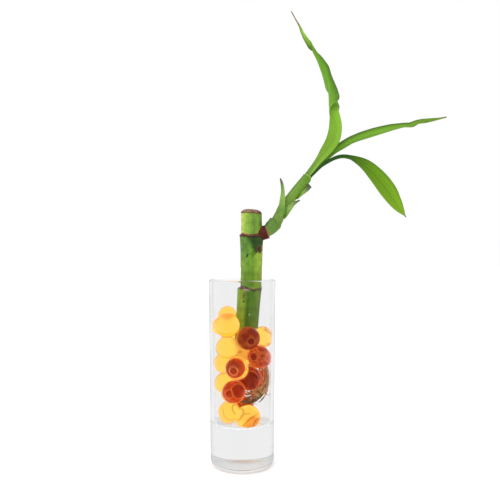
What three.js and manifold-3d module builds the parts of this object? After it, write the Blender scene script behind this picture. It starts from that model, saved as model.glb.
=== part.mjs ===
// A lucky bamboo cutting in a heavy-based shot glass: a green cane with one side shoot and three leaves,
// its roots curled round the inside of the glass, wedged upright by yellow and red gel beads.
// Millimetres, +Z up. The origin is the middle of the glass's flat base, and the front faces -Y.

import * as THREE from "three";
import Module from "manifold-3d";

const wasm = await Module();
wasm.setup();

// Driving dimensions

const GLASS = {
  height: 104,
  rimRadius: 19,
  baseRadius: 17.8,
  heelRadius: 4,
  floorHeight: 23.2,
  floorCornerRadius: 3,
  rimWall: 1.5,
  footWall: 2,
  sides: 40,
};

const CANE = {
  foot: new THREE.Vector3(2.1, 7, 66),
  bend: new THREE.Vector3(4.9, 4.9, 100),
  top: new THREE.Vector3(5.2, 3.2, 142.1),
  domeHeight: 1.5,
  lowerRadius: 6.35, // below the middle joint, then above it, then above the top joint
  middleRadius: 6,
  topRadius: 5.8,
  swelling: 0.35, // how much wider each internode is just under its joint
  swellingHeight: 7,
  oval: 0.015, // how far out of round, and which way it is turned, in radians
  ovalTurn: 0.6,
  jointHeights: [68.6, 99, 129.2],
  jointRidge: 0.4,
  jointRidgeHeight: 1.1,
  ringHeights: [75, 84, 92, 107, 115, 122, 135], // between the joints
  jointRings: [-2, -1, -0.4, 0.05, 0.6, 1.5], // about each joint, in ridge heights
  sides: 22,
};

const CROWN = { radius: 4.2, height: 2, sides: 12 };

const ROOTS = {
  thickRadius: 0.6,
  thinRadius: 0.35,
  sides: 4,
  scatter: 2.6, // how far the far end of a root may lie from its guide's
  spacing: 1.15, // between the centres of roots that lie side by side
  shortest: 0.75, // the shortest root, as a share of its guide
  play: 0.1, // beyond the gap that touching pieces keep
  points: 44, // along a whole guide while the roots are laid; every third one is kept
  rooted: 3, // the first points stay inside the crown
  rounds: 112,
  spacedRounds: 100, // the rounds that keep the spacing; the last ones only smooth
  seed: 7,
};
// The ways that the roots take from under the cane's foot: down the right side and in under the
// beads, to the right and down toward the floor, round the back, and down the left.
const ROOT_GUIDES = [
  {
    strands: 7,
    guide: [
      [3, 7.2, 65],
      [8.8, 9.4, 61.5],
      [13.6, 5.5, 54],
      [14.2, 0.5, 47],
      [12.6, -3.6, 40.6],
      [8, -5, 37],
      [2, -4.4, 35.8],
      [-3, -2, 35.6],
      [-8, 1.5, 36],
    ],
  },
  {
    strands: 3,
    guide: [
      [3.2, 7.4, 65],
      [9.6, 9.5, 60],
      [14.4, 4, 51],
      [14.4, -0.5, 43],
      [11.4, -4.4, 38.4],
      [12, -7.2, 35.4],
    ],
  },
  {
    strands: 1,
    guide: [
      [3.2, 7.4, 65],
      [10.4, 10, 58],
      [13.6, 4.5, 46],
      [11, -3, 38.6],
      [9.6, -6.8, 35.4],
      [10.8, -8.6, 31],
      [9.6, -9.6, 27],
    ],
  },
  {
    strands: 3,
    guide: [
      [2.8, 7.6, 65],
      [5.4, 13, 59],
      [11.6, 11, 51],
      [12, 9.4, 43],
      [7.6, 10.6, 37],
      [-1, 12.8, 35.6],
      [-9, 10, 37],
    ],
  },
  {
    strands: 3,
    guide: [
      [1.4, 7.4, 65],
      [-3, 12.4, 60],
      [-9.6, 11.6, 54],
      [-14, 6, 47],
      [-14.2, -2.5, 42],
      [-9.5, -11, 38.5],
    ],
  },
];

const GAP = 0.3; // between pieces that touch
const BEADS_IN_VIEW = 15;
const BEAD_FACETS = 2;
// How the beads settle: in the first rounds each one is drawn back to its place by these shares.
const SETTLING = { rounds: 1200, drawnRounds: 700, inView: 0.06, hidden: 0.004, inDepth: 0.003 };
const BLADE_THICKNESS = 0.7;
const BLADE_POINTS_ACROSS = 5;
const NARROWEST_BLADE = 0.3; // half width

// Gel beads: colour, where each one lies before they are pushed apart, and radius. The first
// fifteen show from the front and keep their places across it; the others fill the back.
const BEADS = [
  ["yellow", [-8.8, 5.0, 82.7], 5.5],
  ["yellow", [-8.9, -6.3, 79.0], 6.2],
  ["yellow", [-7.9, -7.0, 66.8], 6.1],
  ["yellow", [11.6, -1.8, 72.1], 5.0],
  ["red", [3.4, -10.2, 72.2], 6.3],
  ["red", [8.9, -6.5, 60.9], 6.2],
  ["red", [-2.8, -10.0, 55.8], 6.2],
  ["red", [4.2, -2.8, 47.3], 5.9],
  ["red", [9.6, 5.8, 46.2], 5.2],
  ["red", [-3.6, -9.5, 43.1], 6.2],
  ["yellow", [3.2, -9.3, 29.6], 6.3],
  ["yellow", [-7.4, 1.5, 29.6], 5.9],
  ["yellow", [-0.5, -0.4, 59.8], 4.9],
  ["yellow", [-10.2, 3.0, 56.4], 5.5],
  ["yellow", [-10.2, -1.0, 46.0], 5.2],
  ["yellow", [-8.6, 9.4, 70.4], 4.2],
  ["red", [0.6, 9.6, 29.6], 5.8],
  ["yellow", [-6.6, 7.4, 38.6], 5.2],
  ["red", [-1.4, 9.2, 46.6], 5.4],
];

// The side shoot's centreline, from inside the cane's upper joint to the top of its last sheath,
// with the stem's radius at each point.
const SHOOT_PATH = [
  [9.8, 3.3, 130.0, 2.4],
  [11.6, 3.2, 130.4, 2.45],
  [13.2, 3.1, 130.8, 2.6],
  [14.2, 3, 131.4, 3.3],
  [16.4, 3, 133.4, 3.9],
  [18.8, 3, 136.0, 4.0],
  [19.7, 3, 137.2, 3.2],
  [21.3, 3, 140.4, 2.9],
  [23.4, 3, 144.8, 2.7],
  [26.7, 3, 149.0, 2.85],
  [30.6, 3, 153.8, 3.0],
  [34.2, 3, 158.3, 2.85],
  [36.6, 3, 161.4, 2.5],
  [38.0, 3, 163.3, 2.2],
];
// Where one sheath's upper edge stands round the stem, as shares of the path, and how proud it stands.
const SHEATH_RIMS = [0.615, 0.95];
const SHEATH_STEP = 0.35;
const SHEATH_FLARE = 0.06; // the share of the path over which a sheath widens to its edge
const SHOOT_SIDES = 12;
const SHOOT_STEPS = 39; // three to each part of the path

// Blades: x, y, z of the midrib, then half width, roll about the midrib in degrees, and fold.
// At roll 0 the blade lies flat to the front; fold raises the edges by that share of the half width.
const UPRIGHT_LEAF = [
  [34.9, 3, 160.8, 1.3, 6, 0.8],
  [37.3, 3, 163.8, 1.6, 8, 0.7],
  [40.9, 3, 168.4, 1.8, 10, 0.55],
  [43.7, 3, 172.1, 2.2, 13, 0.4],
  [46.5, 2.6, 176.1, 3.1, 17, 0.3],
  [49.3, 2.3, 180.2, 3.8, 20, 0.25],
  [51.3, 2.2, 184.2, 4.3, 22, 0.25],
  [52.3, 2.2, 190.6, 4.3, 27, 0.3],
  [51.7, 2.6, 195.1, 4.3, 38, 0.45],
  [49.6, 3, 198.3, 4.6, 56, 0.8],
  [49.8, 3.4, 201.8, 4.4, 84, 1],
  [50.1, 3.9, 205.1, 4.5, 106, 0.9],
  [49.5, 4.4, 208.3, 5.0, 120, 0.7],
  [49.0, 5.2, 214.2, 3.8, 132, 0.6],
  [48.3, 6.2, 220.2, 2.9, 145, 0.5],
  [47.2, 7.2, 225.6, 2.7, 156, 0.4],
  [45.2, 8.2, 230.5, 2.0, 175, 0.35],
  [43.2, 9, 235.0, 1.8, 215, 0.45],
  [41.6, 9.6, 238.2, 3.3, 264, 0.35],
  [38.3, 10.4, 241.8, 1.6, 322, 0.3],
  [35.4, 11.2, 246.6, 1.0, 345, 0.2],
  [33.3, 11.8, 251.6, 0.5, 350, 0.1],
  [30.5, 12.2, 256.7, 0.3, 350, 0],
  [28.4, 12.4, 260.8, 0.3, 350, 0],
];
const OUTER_LEAF = [
  [39.7, 3.8, 164.8, 0.8, -14, 0.7],
  [43.2, 4.2, 168.5, 1.1, -20, 0.7],
  [48.1, 4.8, 172.6, 1.7, -30, 0.6],
  [52.6, 5.2, 176.5, 2.4, -38, 0.5],
  [57.4, 5.6, 179.5, 3.3, -44, 0.42],
  [62.6, 6.2, 182.6, 3.7, -46, 0.4],
  [68.2, 7, 185.0, 4.0, -46, 0.38],
  [75.0, 8.2, 187.5, 3.8, -45, 0.36],
  [81.9, 9.6, 189.7, 3.3, -43, 0.35],
  [88.5, 11, 191.7, 2.8, -42, 0.35],
  [94.0, 12, 193.0, 2.4, -48, 0.4],
  [98.7, 12.8, 193.4, 2.8, -52, 0.4],
  [102.3, 13.4, 195.1, 2.0, -44, 0.35],
  [107.8, 14.2, 196.2, 1.9, -40, 0.3],
  [113.2, 14.8, 197.4, 1.3, -38, 0.2],
  [117.5, 15.2, 198.4, 0.7, -36, 0.1],
  [120.9, 15.6, 199.3, 0.4, -35, 0],
];
const ARCHING_LEAF = [
  [38.7, 3, 161.7, 0.8, -30, 0.7],
  [42.1, 2.2, 165.0, 1.0, -40, 0.7],
  [45.2, 1.4, 167.8, 1.3, -50, 0.6],
  [48.6, 0.8, 169.9, 1.8, -58, 0.5],
  [52.4, 0.2, 171.7, 2.3, -64, 0.45],
  [56.6, -0.4, 172.5, 2.8, -64, 0.4],
  [61.3, -1.2, 171.9, 3.2, -58, 0.36],
  [65.3, -2.4, 170.2, 3.6, -46, 0.32],
  [69.2, -3.8, 167.4, 4.1, -34, 0.28],
  [73.9, -6, 162.2, 4.7, -24, 0.25],
  [77.6, -8.4, 157.0, 5.0, -18, 0.24],
  [80.6, -10.6, 151.7, 4.8, -14, 0.22],
  [83.0, -12.2, 147.0, 3.9, -12, 0.2],
  [85.0, -13.2, 143.7, 2.8, -10, 0.2],
  [86.8, -13.8, 141.2, 1.6, -10, 0.15],
  [88.1, -14.2, 139.4, 0.5, -10, 0.1],
  [88.9, -14.4, 138.3, 0.3, -10, 0],
];
const STEPS_PER_STATION = 2;
const EDGE_WAVE = { height: 0.25, waves: 3.2, lag: 2.4 }; // one edge's waves lie behind the other's

// Dried sheath tips and cut leaf bases that stay on the shoot, in the same form as the blades.
const SHEATH_TIPS = [
  [
    [21.4, 1.2, 140.6, 2.0, 10, 0.7],
    [22.1, 0.6, 147.0, 1.9, 6, 0.6],
    [22.9, 0, 153.6, 1.3, 0, 0.5],
    [22.4, 0, 158.2, 0.8, 0, 0.4],
    [21.5, 0.5, 161.2, 0.35, 0, 0.1],
  ],
  [
    [23.4, 2.2, 139.6, 2.2, -30, 0.6],
    [26.4, 1.5, 143.4, 2.0, -35, 0.6],
    [29.4, 1, 146.7, 1.3, -35, 0.5],
    [32.7, 1, 148.9, 0.35, -30, 0.1],
  ],
  [
    [30.0, 2, 150.4, 1.5, -30, 0.6],
    [34.2, 1.5, 154.4, 2.0, -30, 0.5],
    [38.0, 1.5, 157.6, 0.9, -25, 0.3],
  ],
  [
    [15.6, 2.4, 133.4, 2.0, 0, 0.6],
    [15.9, 2.2, 136.2, 1.4, 0, 0.5],
    [16.3, 2.2, 138.9, 0.4, 0, 0.2],
  ],
];

const BUD_SCALE = {
  path: [
    [8.6, 3.3, 129.8],
    [10.6, 3.2, 130.2],
    [14.1, 3, 131.2],
  ],
  startRadius: 4.4,
  endRadius: 3.35,
  sides: 16,
  steps: 6,
};

const material = (color, roughness, metalness = 0) =>
  new THREE.MeshStandardMaterial({ color, roughness, metalness });

const MATERIALS = {
  glass: material(0xeef2f1, 0.05),
  cane: material(0x5f8f2c, 0.5),
  bud: material(0x6b2414, 0.7),
  shoot: material(0x6f9d3a, 0.5),
  leaf: material(0x6aa528, 0.45),
  roots: material(0x8a5a2e, 0.8),
  yellow: material(0xffc24a, 0.1),
  red: material(0xb53a12, 0.1),
};

// Solids

// A closed geometry from points and triangles.
function closedGeometry(points, triangles) {
  const positions = new Float32Array(points.flatMap((p) => [p.x, p.y, p.z]));
  return new THREE.BufferGeometry()
    .setAttribute("position", new THREE.BufferAttribute(positions, 3))
    .setIndex(triangles);
}

function solidOf(geometry) {
  const vertProperties = geometry.getAttribute("position").array;
  const triVerts = new Uint32Array(geometry.index.array);
  return new wasm.Manifold(new wasm.Mesh({ numProp: 3, vertProperties, triVerts }));
}

// The largest body of a solid, as a geometry: a cut can leave loose scraps.
function geometryOf(solid) {
  const bodies = solid.decompose().sort((a, b) => b.volume() - a.volume());
  const mesh = bodies[0].getMesh();
  const positions = new Float32Array(mesh.numVert * 3);
  for (let i = 0; i < mesh.numVert; i++)
    positions.set(mesh.vertProperties.subarray(i * mesh.numProp, i * mesh.numProp + 3), i * 3);
  return new THREE.BufferGeometry()
    .setAttribute("position", new THREE.BufferAttribute(positions, 3))
    .setIndex(new THREE.BufferAttribute(mesh.triVerts, 1));
}

// A closed geometry through rings of points that run anticlockwise about the way the rings go.
function loft(rings) {
  const sides = rings[0].length;
  const points = rings.flat();
  const triangles = [];
  for (let i = 0; i + 1 < rings.length; i++)
    for (let j = 0; j < sides; j++) {
      const next = (j + 1) % sides;
      const a = i * sides + j;
      const b = i * sides + next;
      triangles.push(a, b, b + sides, a, b + sides, a + sides);
    }
  const addCap = (ring, first, turned) => {
    const middle = ring.reduce((sum, p) => sum.add(p), new THREE.Vector3()).divideScalar(sides);
    const centre = points.push(middle) - 1;
    for (let j = 0; j < sides; j++) {
      const pair = [first + j, first + ((j + 1) % sides)];
      triangles.push(centre, ...(turned ? pair.reverse() : pair));
    }
  };
  addCap(rings[0], 0, true);
  addCap(rings.at(-1), (rings.length - 1) * sides, false);
  return closedGeometry(points, triangles);
}

// A round tube along a curve, its radius given by the curve's own share of the way along.
function tube(curve, radiusAt, sides, steps) {
  const across = curve.getTangent(0).cross(new THREE.Vector3(0, 1, 0)).normalize();
  const rings = [];
  for (let i = 0; i <= steps; i++) {
    const share = i / steps;
    const along = curve.getTangent(share);
    across.addScaledVector(along, -across.dot(along)).normalize();
    const upward = along.clone().cross(across);
    const ring = [];
    for (let j = 0; j < sides; j++) {
      const angle = (2 * Math.PI * j) / sides;
      const out = across.clone().multiplyScalar(Math.cos(angle)).addScaledVector(upward, Math.sin(angle));
      ring.push(curve.getPoint(share).addScaledVector(out, radiusAt(share)));
    }
    rings.push(ring);
  }
  return loft(rings);
}

// A thin blade along a midrib: its two faces are split into triangles alike, so they never cross.
function blade(stations, { steps, grow = 0, waveHeight = 0 }) {
  const across = BLADE_POINTS_ACROSS;
  const spine = new THREE.CatmullRomCurve3(stations.map((s) => new THREE.Vector3(s[0], s[1], s[2])));
  const shape = new THREE.CatmullRomCurve3(stations.map((s) => new THREE.Vector3(s[3], s[4], s[5])));
  const forward = new THREE.Vector3(0, 1, 0);
  const thickness = BLADE_THICKNESS + 2 * grow;
  const points = [];
  for (let i = 0; i <= steps; i++) {
    const share = i / steps;
    const centre = spine.getPoint(share);
    const along = spine.getTangent(share);
    const { x: halfWidth, y: roll, z: fold } = shape.getPoint(share);
    const side = forward.clone().cross(along).normalize();
    side.applyAxisAngle(along, THREE.MathUtils.degToRad(roll));
    const face = side.clone().cross(along).normalize();
    for (const half of [0.5, -0.5])
      for (let j = 0; j < across; j++) {
        const place = (2 * j) / (across - 1) - 1;
        const wave = Math.sin(2 * Math.PI * EDGE_WAVE.waves * share + EDGE_WAVE.lag * place);
        const ripple = waveHeight * wave * Math.sin(Math.PI * share);
        const lift = (fold * halfWidth + ripple) * Math.abs(place);
        const reach = Math.max(halfWidth, NARROWEST_BLADE) + grow;
        const point = centre.clone().addScaledVector(side, place * reach);
        points.push(point.addScaledVector(face, lift + half * thickness));
      }
  }
  const at = (i, j, under) => (2 * i + under) * across + j;
  const triangles = [];
  const quad = (a, b, c, d) => triangles.push(a, b, c, a, c, d);
  for (let i = 0; i < steps; i++) {
    for (let j = 0; j + 1 < across; j++) {
      quad(at(i, j, 0), at(i, j + 1, 0), at(i + 1, j + 1, 0), at(i + 1, j, 0));
      quad(at(i, j, 1), at(i + 1, j, 1), at(i + 1, j + 1, 1), at(i, j + 1, 1));
    }
    const last = across - 1;
    quad(at(i, 0, 0), at(i + 1, 0, 0), at(i + 1, 0, 1), at(i, 0, 1));
    quad(at(i, last, 0), at(i, last, 1), at(i + 1, last, 1), at(i + 1, last, 0));
  }
  for (let j = 0; j + 1 < across; j++) {
    quad(at(0, j, 0), at(0, j, 1), at(0, j + 1, 1), at(0, j + 1, 0));
    quad(at(steps, j, 0), at(steps, j + 1, 0), at(steps, j + 1, 1), at(steps, j, 1));
  }
  return closedGeometry(points, triangles);
}

// Glass

const glassOuterRadius = (z) =>
  THREE.MathUtils.lerp(GLASS.baseRadius, GLASS.rimRadius, z / GLASS.height);

function glassInnerRadius(z) {
  const share = (z - GLASS.floorHeight) / (GLASS.height - GLASS.floorHeight);
  return glassOuterRadius(z) - THREE.MathUtils.lerp(GLASS.footWall, GLASS.rimWall, share);
}

// Points of an arc in the profile's plane, from one angle to another in degrees.
function arc(x, y, radius, from, to, steps) {
  const points = [];
  for (let i = 0; i <= steps; i++) {
    const angle = THREE.MathUtils.degToRad(THREE.MathUtils.lerp(from, to, i / steps));
    points.push(new THREE.Vector2(x + radius * Math.cos(angle), y + radius * Math.sin(angle)));
  }
  return points;
}

function glass() {
  const { height, heelRadius, floorHeight, floorCornerRadius, rimWall, sides } = GLASS;
  const heel = glassOuterRadius(heelRadius) - heelRadius;
  const lip = rimWall / 2;
  const corner = glassInnerRadius(floorHeight + floorCornerRadius) - floorCornerRadius;
  const profile = [
    new THREE.Vector2(0, 0),
    ...arc(heel, heelRadius, heelRadius, -90, 0, 4),
    ...arc(glassOuterRadius(height - lip) - lip, height - lip, lip, 0, 180, 4),
    ...arc(corner, floorHeight + floorCornerRadius, floorCornerRadius, 0, -90, 3),
    new THREE.Vector2(0, floorHeight),
  ];
  const turned = new THREE.LatheGeometry(profile, sides);
  turned.rotateX(Math.PI / 2); // the lathe turns about Y, and the glass stands along Z
  return turned;
}

// Cane

function caneAxisAt(z) {
  const { foot, bend, top } = CANE;
  const [from, to] = z < bend.z ? [foot, bend] : [bend, top];
  return new THREE.Vector3().lerpVectors(from, to, (z - from.z) / (to.z - from.z));
}

// Each internode swells under the joint above it, and each joint stands out as a thin ridge.
function caneRadiusAt(z) {
  const { lowerRadius, middleRadius, topRadius, jointHeights, jointRidge, jointRidgeHeight } = CANE;
  const [, middleJoint, topJoint] = jointHeights;
  const radius = z > topJoint ? topRadius : z > middleJoint ? middleRadius : lowerRadius;
  const above = jointHeights.find((joint) => joint >= z);
  const under = above === undefined ? 0 : CANE.swelling * Math.exp(-(above - z) / CANE.swellingHeight);
  const ridges = jointHeights.map((joint) => Math.exp(-(((z - joint) / jointRidgeHeight) ** 2)));
  return radius + under + jointRidge * Math.max(...ridges);
}

function cane(grow = 0) {
  const { foot, top, domeHeight, jointHeights, jointRidgeHeight, sides } = CANE;
  const heights = [foot.z - grow, ...CANE.ringHeights];
  for (const joint of jointHeights)
    for (const offset of CANE.jointRings) heights.push(joint + offset * jointRidgeHeight);
  const ringAt = (z, radius) => {
    const centre = caneAxisAt(z);
    const ring = [];
    for (let j = 0; j < sides; j++) {
      const angle = (2 * Math.PI * j) / sides;
      const oval = 1 + CANE.oval * Math.cos(2 * angle + CANE.ovalTurn);
      const r = (radius + grow) * oval;
      ring.push(new THREE.Vector3(centre.x + r * Math.cos(angle), centre.y + r * Math.sin(angle), z));
    }
    return ring;
  };
  const rings = heights.sort((a, b) => a - b).map((z) => ringAt(z, caneRadiusAt(z)));
  for (const angle of [0, 30, 60, 80]) {
    const turn = THREE.MathUtils.degToRad(angle);
    const z = top.z + (domeHeight + grow) * Math.sin(turn);
    rings.push(ringAt(z, CANE.topRadius * (0.25 + 0.75 * Math.cos(turn))));
  }
  return loft(rings);
}

// Shoot and bud scale

const shootCurve = new THREE.CatmullRomCurve3(SHOOT_PATH.map((p) => new THREE.Vector3(p[0], p[1], p[2])));

function shootRadiusAt(share) {
  const place = share * (SHOOT_PATH.length - 1);
  const i = Math.min(Math.floor(place), SHOOT_PATH.length - 2);
  const stem = THREE.MathUtils.lerp(SHOOT_PATH[i][3], SHOOT_PATH[i + 1][3], place - i);
  const rim = SHEATH_RIMS.find((r) => r >= share);
  const below = rim === undefined ? 0 : Math.exp(-(rim - share) / SHEATH_FLARE);
  return stem + SHEATH_STEP * below;
}

function shoot(caneGrown) {
  let made = solidOf(tube(shootCurve, shootRadiusAt, SHOOT_SIDES, SHOOT_STEPS));
  for (const tip of SHEATH_TIPS) made = made.add(solidOf(blade(tip, { steps: 8 })));
  return made.subtract(caneGrown);
}

function shootGrown(grow) {
  return solidOf(tube(shootCurve, (share) => shootRadiusAt(share) + grow, SHOOT_SIDES, SHOOT_STEPS));
}

// A dried brown scale that wraps the shoot's foot where it leaves the cane's joint.
function budScale(caneGrown, shootSolid) {
  const { startRadius, endRadius, sides, steps } = BUD_SCALE;
  const path = new THREE.CatmullRomCurve3(BUD_SCALE.path.map((p) => new THREE.Vector3(...p)));
  const outer = tube(path, (share) => THREE.MathUtils.lerp(startRadius, endRadius, share), sides, steps);
  return solidOf(outer).subtract(caneGrown).subtract(shootSolid);
}

// Gel beads

// The nearest point to a place on the cane's lower end or on the root crown under it.
function nearestOnCane(place) {
  const crownTop = CANE.foot.z - GAP;
  const inDisc = (z, radius) => {
    const axis = caneAxisAt(Math.max(z, CANE.foot.z)).setZ(z);
    const out = new THREE.Vector3(place.x - axis.x, place.y - axis.y, 0);
    return axis.add(out.clampLength(0, radius));
  };
  const onCane = Math.max(place.z, CANE.foot.z);
  const onCrown = THREE.MathUtils.clamp(place.z, crownTop - CROWN.height, crownTop);
  const near = [inDisc(onCane, caneRadiusAt(onCane)), inDisc(onCrown, CROWN.radius)];
  return near.sort((a, b) => a.distanceTo(place) - b.distanceTo(place))[0];
}

// Pushes the beads apart until each is clear of its neighbours, the cane and the glass.
function settledBeads() {
  const beads = BEADS.map(([colour, place, radius]) => ({
    colour,
    radius,
    home: new THREE.Vector3(...place),
    centre: new THREE.Vector3(...place),
  }));
  const pushOff = (bead, point, distance, share = 1) => {
    const away = bead.centre.clone().sub(point);
    const short = distance - away.length();
    if (short > 0) bead.centre.addScaledVector(away.normalize(), short * share);
    return Math.max(short, 0);
  };
  for (let round = 0; round < SETTLING.rounds; round++) {
    if (round < SETTLING.drawnRounds)
      beads.forEach(({ centre, home }, i) => {
        const across = i < BEADS_IN_VIEW ? SETTLING.inView : SETTLING.hidden;
        centre.x += across * (home.x - centre.x);
        centre.y += SETTLING.inDepth * (home.y - centre.y);
        centre.z += across * (home.z - centre.z);
      });
    beads.forEach((a, i) =>
      beads.slice(i + 1).forEach((b) => {
        const distance = a.radius + b.radius + GAP;
        const before = a.centre.clone();
        pushOff(a, b.centre, distance, 0.5);
        pushOff(b, before, distance, 0.5);
      }),
    );
    for (const bead of beads) {
      pushOff(bead, nearestOnCane(bead.centre), bead.radius + GAP);
      const { centre, radius } = bead;
      centre.z = Math.max(centre.z, GLASS.floorHeight + radius + GAP);
      const reach = Math.hypot(centre.x, centre.y);
      const limit = glassInnerRadius(centre.z - radius) - radius - GAP;
      if (reach > limit) {
        centre.x *= limit / reach;
        centre.y *= limit / reach;
      }
    }
  }
  return beads;
}

// Roots

// A repeatable stream of numbers from 0 to 1.
function randomStream(seed) {
  let state = seed;
  return () => {
    state = (Math.imul(state, 1664525) + 1013904223) >>> 0;
    return state / 2 ** 32;
  };
}

// Moves a point straight away from another until they are a distance apart.
function pushClear(point, other, distance) {
  const away = point.clone().sub(other);
  const short = distance - away.length();
  if (short > 0) point.addScaledVector(away.normalize(), short);
}

// Moves a root's point off the beads and the cane, and inside the glass.
function clearPoint(point, beads) {
  const clearance = ROOTS.thickRadius + GAP + ROOTS.play;
  for (const bead of beads) pushClear(point, bead.centre, bead.radius + clearance);
  const wall = glassInnerRadius(point.z) - clearance;
  const reach = Math.hypot(point.x, point.y);
  if (reach > wall) {
    point.x *= wall / reach;
    point.y *= wall / reach;
  }
  point.z = Math.min(point.z, CANE.foot.z - clearance);
}

const isClear = (point, beads) =>
  beads.every((bead) => point.distanceTo(bead.centre) > bead.radius + ROOTS.thickRadius + ROOTS.play);

// A root's way along a guide, clear of the beads and of the roots already laid.
function rootPath(guide, beads, laid, random) {
  const { rooted, rounds, spacedRounds, spacing } = ROOTS;
  const scatter = () => ROOTS.scatter * (2 * random() - 1);
  const way = guide.map(([x, y, z], i) => {
    const spread = i / (guide.length - 1);
    return new THREE.Vector3(x + spread * scatter(), y + spread * scatter(), z + spread * scatter());
  });
  const length = THREE.MathUtils.lerp(ROOTS.shortest, 1, random());
  const curve = new THREE.CatmullRomCurve3(way);
  const points = curve.getPoints(Math.round(ROOTS.points * length));
  const last = points.length - 1;
  for (let round = 0; round < rounds; round++) {
    const spaced = round < spacedRounds;
    for (let i = rooted; i < last; i++) {
      const middle = points[i - 1].clone().add(points[i + 1]).multiplyScalar(0.5);
      points[i].lerp(middle, spaced ? 0.12 : 0.35);
    }
    for (let i = rooted; i <= last; i++) {
      if (spaced && i > 2 * rooted) laid.forEach((other) => pushClear(points[i], other, spacing));
      clearPoint(points[i], beads);
    }
  }
  let end = rooted;
  while (end < last && isClear(points[end + 1], beads)) end++;
  return points.slice(0, end + 1).filter((_, i) => i % 3 === 0);
}

function roots(beads) {
  const axis = caneAxisAt(CANE.foot.z);
  const ringAt = (z, radius) => {
    const ring = [];
    for (let j = 0; j < CROWN.sides; j++) {
      const angle = (2 * Math.PI * j) / CROWN.sides;
      ring.push(new THREE.Vector3(axis.x + radius * Math.cos(angle), axis.y + radius * Math.sin(angle), z));
    }
    return ring;
  };
  const topZ = CANE.foot.z - GAP;
  const crown = loft([
    ringAt(topZ - CROWN.height, CROWN.radius * 0.7),
    ringAt(topZ - CROWN.height * 0.6, CROWN.radius),
    ringAt(topZ, CROWN.radius * 1.05),
  ]);
  let made = solidOf(crown);
  const radiusAt = (share) => THREE.MathUtils.lerp(ROOTS.thickRadius, ROOTS.thinRadius, share);
  const random = randomStream(ROOTS.seed);
  const laid = [];
  for (const { strands, guide } of ROOT_GUIDES)
    for (let i = 0; i < strands; i++) {
      const path = rootPath(guide, beads, laid, random);
      if (path.length < 5) continue;
      laid.push(...path.slice(2));
      const curve = new THREE.CatmullRomCurve3(path);
      made = made.add(solidOf(tube(curve, radiusAt, ROOTS.sides, path.length)));
    }
  return made;
}

// Assembly

const plant = new THREE.Group();

function addPiece(name, geometry, finish) {
  const mesh = new THREE.Mesh(geometry, finish);
  mesh.name = name;
  plant.add(mesh);
  return mesh;
}

addPiece("glass", glass(), MATERIALS.glass);

const beads = settledBeads();
beads.forEach(({ colour, centre, radius }, i) => {
  const name = `gel_bead_${String(i + 1).padStart(2, "0")}`;
  const piece = addPiece(name, new THREE.IcosahedronGeometry(radius, BEAD_FACETS), MATERIALS[colour]);
  piece.position.copy(centre);
});

const caneGrown = solidOf(cane(GAP));
addPiece("cane", cane(), MATERIALS.cane);
addPiece("roots", geometryOf(roots(beads).subtract(caneGrown)), MATERIALS.roots);
addPiece("shoot", geometryOf(shoot(caneGrown)), MATERIALS.shoot);
addPiece("bud_scale", geometryOf(budScale(caneGrown, shootGrown(GAP))), MATERIALS.bud);

function leafOf(stations, grow = 0) {
  const steps = STEPS_PER_STATION * (stations.length - 1);
  return solidOf(blade(stations, { steps, grow, waveHeight: EDGE_WAVE.height }));
}

const stemGrown = shootGrown(GAP);
const upright = leafOf(UPRIGHT_LEAF).subtract(stemGrown);
const outer = leafOf(OUTER_LEAF).subtract(stemGrown).subtract(leafOf(UPRIGHT_LEAF, GAP));
const arching = leafOf(ARCHING_LEAF)
  .subtract(stemGrown)
  .subtract(leafOf(UPRIGHT_LEAF, GAP))
  .subtract(leafOf(OUTER_LEAF, GAP));
addPiece("leaf_upright", geometryOf(upright), MATERIALS.leaf);
addPiece("leaf_outer", geometryOf(outer), MATERIALS.leaf);
addPiece("leaf_arching", geometryOf(arching), MATERIALS.leaf);

export default plant;
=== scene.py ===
"""A lucky bamboo cutting in a heavy-based glass, wedged upright by yellow and red gel beads.

Sizes are in millimetres unless a name says otherwise, and become metres where a mesh is made.
"""

import logging
import math
from contextlib import contextmanager
from dataclasses import dataclass, replace
from enum import Enum
from functools import cached_property
from typing import Callable, Iterator, Mapping, Sequence

import bpy
import numpy as np
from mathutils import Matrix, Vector, noise


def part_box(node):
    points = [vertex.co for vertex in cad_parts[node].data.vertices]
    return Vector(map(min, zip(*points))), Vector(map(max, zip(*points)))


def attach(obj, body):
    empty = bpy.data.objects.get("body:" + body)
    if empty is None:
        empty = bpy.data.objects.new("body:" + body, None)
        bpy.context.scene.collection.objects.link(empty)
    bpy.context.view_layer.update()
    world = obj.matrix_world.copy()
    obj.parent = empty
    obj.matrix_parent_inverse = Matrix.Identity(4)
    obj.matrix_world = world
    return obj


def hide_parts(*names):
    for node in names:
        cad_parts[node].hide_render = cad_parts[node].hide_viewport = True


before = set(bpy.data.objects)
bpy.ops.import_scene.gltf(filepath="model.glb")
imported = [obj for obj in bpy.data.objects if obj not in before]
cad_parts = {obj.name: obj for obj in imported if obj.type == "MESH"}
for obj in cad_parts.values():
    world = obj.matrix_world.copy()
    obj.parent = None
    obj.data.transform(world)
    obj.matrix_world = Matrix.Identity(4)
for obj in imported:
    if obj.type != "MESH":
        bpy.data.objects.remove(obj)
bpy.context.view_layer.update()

LOG = logging.getLogger("lucky_bamboo")
MM = 0.001
BODY = "root"
FORWARD = np.array([0.0, 1.0, 0.0])
SEAM = 1e-6
GEL_IOR = 1.335

Points = np.ndarray
Colour = tuple[float, float, float, float]
Spot = tuple[float, float, float]
Pair = tuple[float, float]
Rows = tuple[tuple[float, ...], ...]
Stops = Sequence[tuple[float, Colour]]
Piece = bpy.types.Object
Material = bpy.types.Material
Group = bpy.types.NodeTree
Socket = bpy.types.NodeSocket

WHITE: Colour = (1.0, 1.0, 1.0, 1.0)
BLACK: Colour = (0.0, 0.0, 0.0, 1.0)


# Modelling helpers


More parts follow.
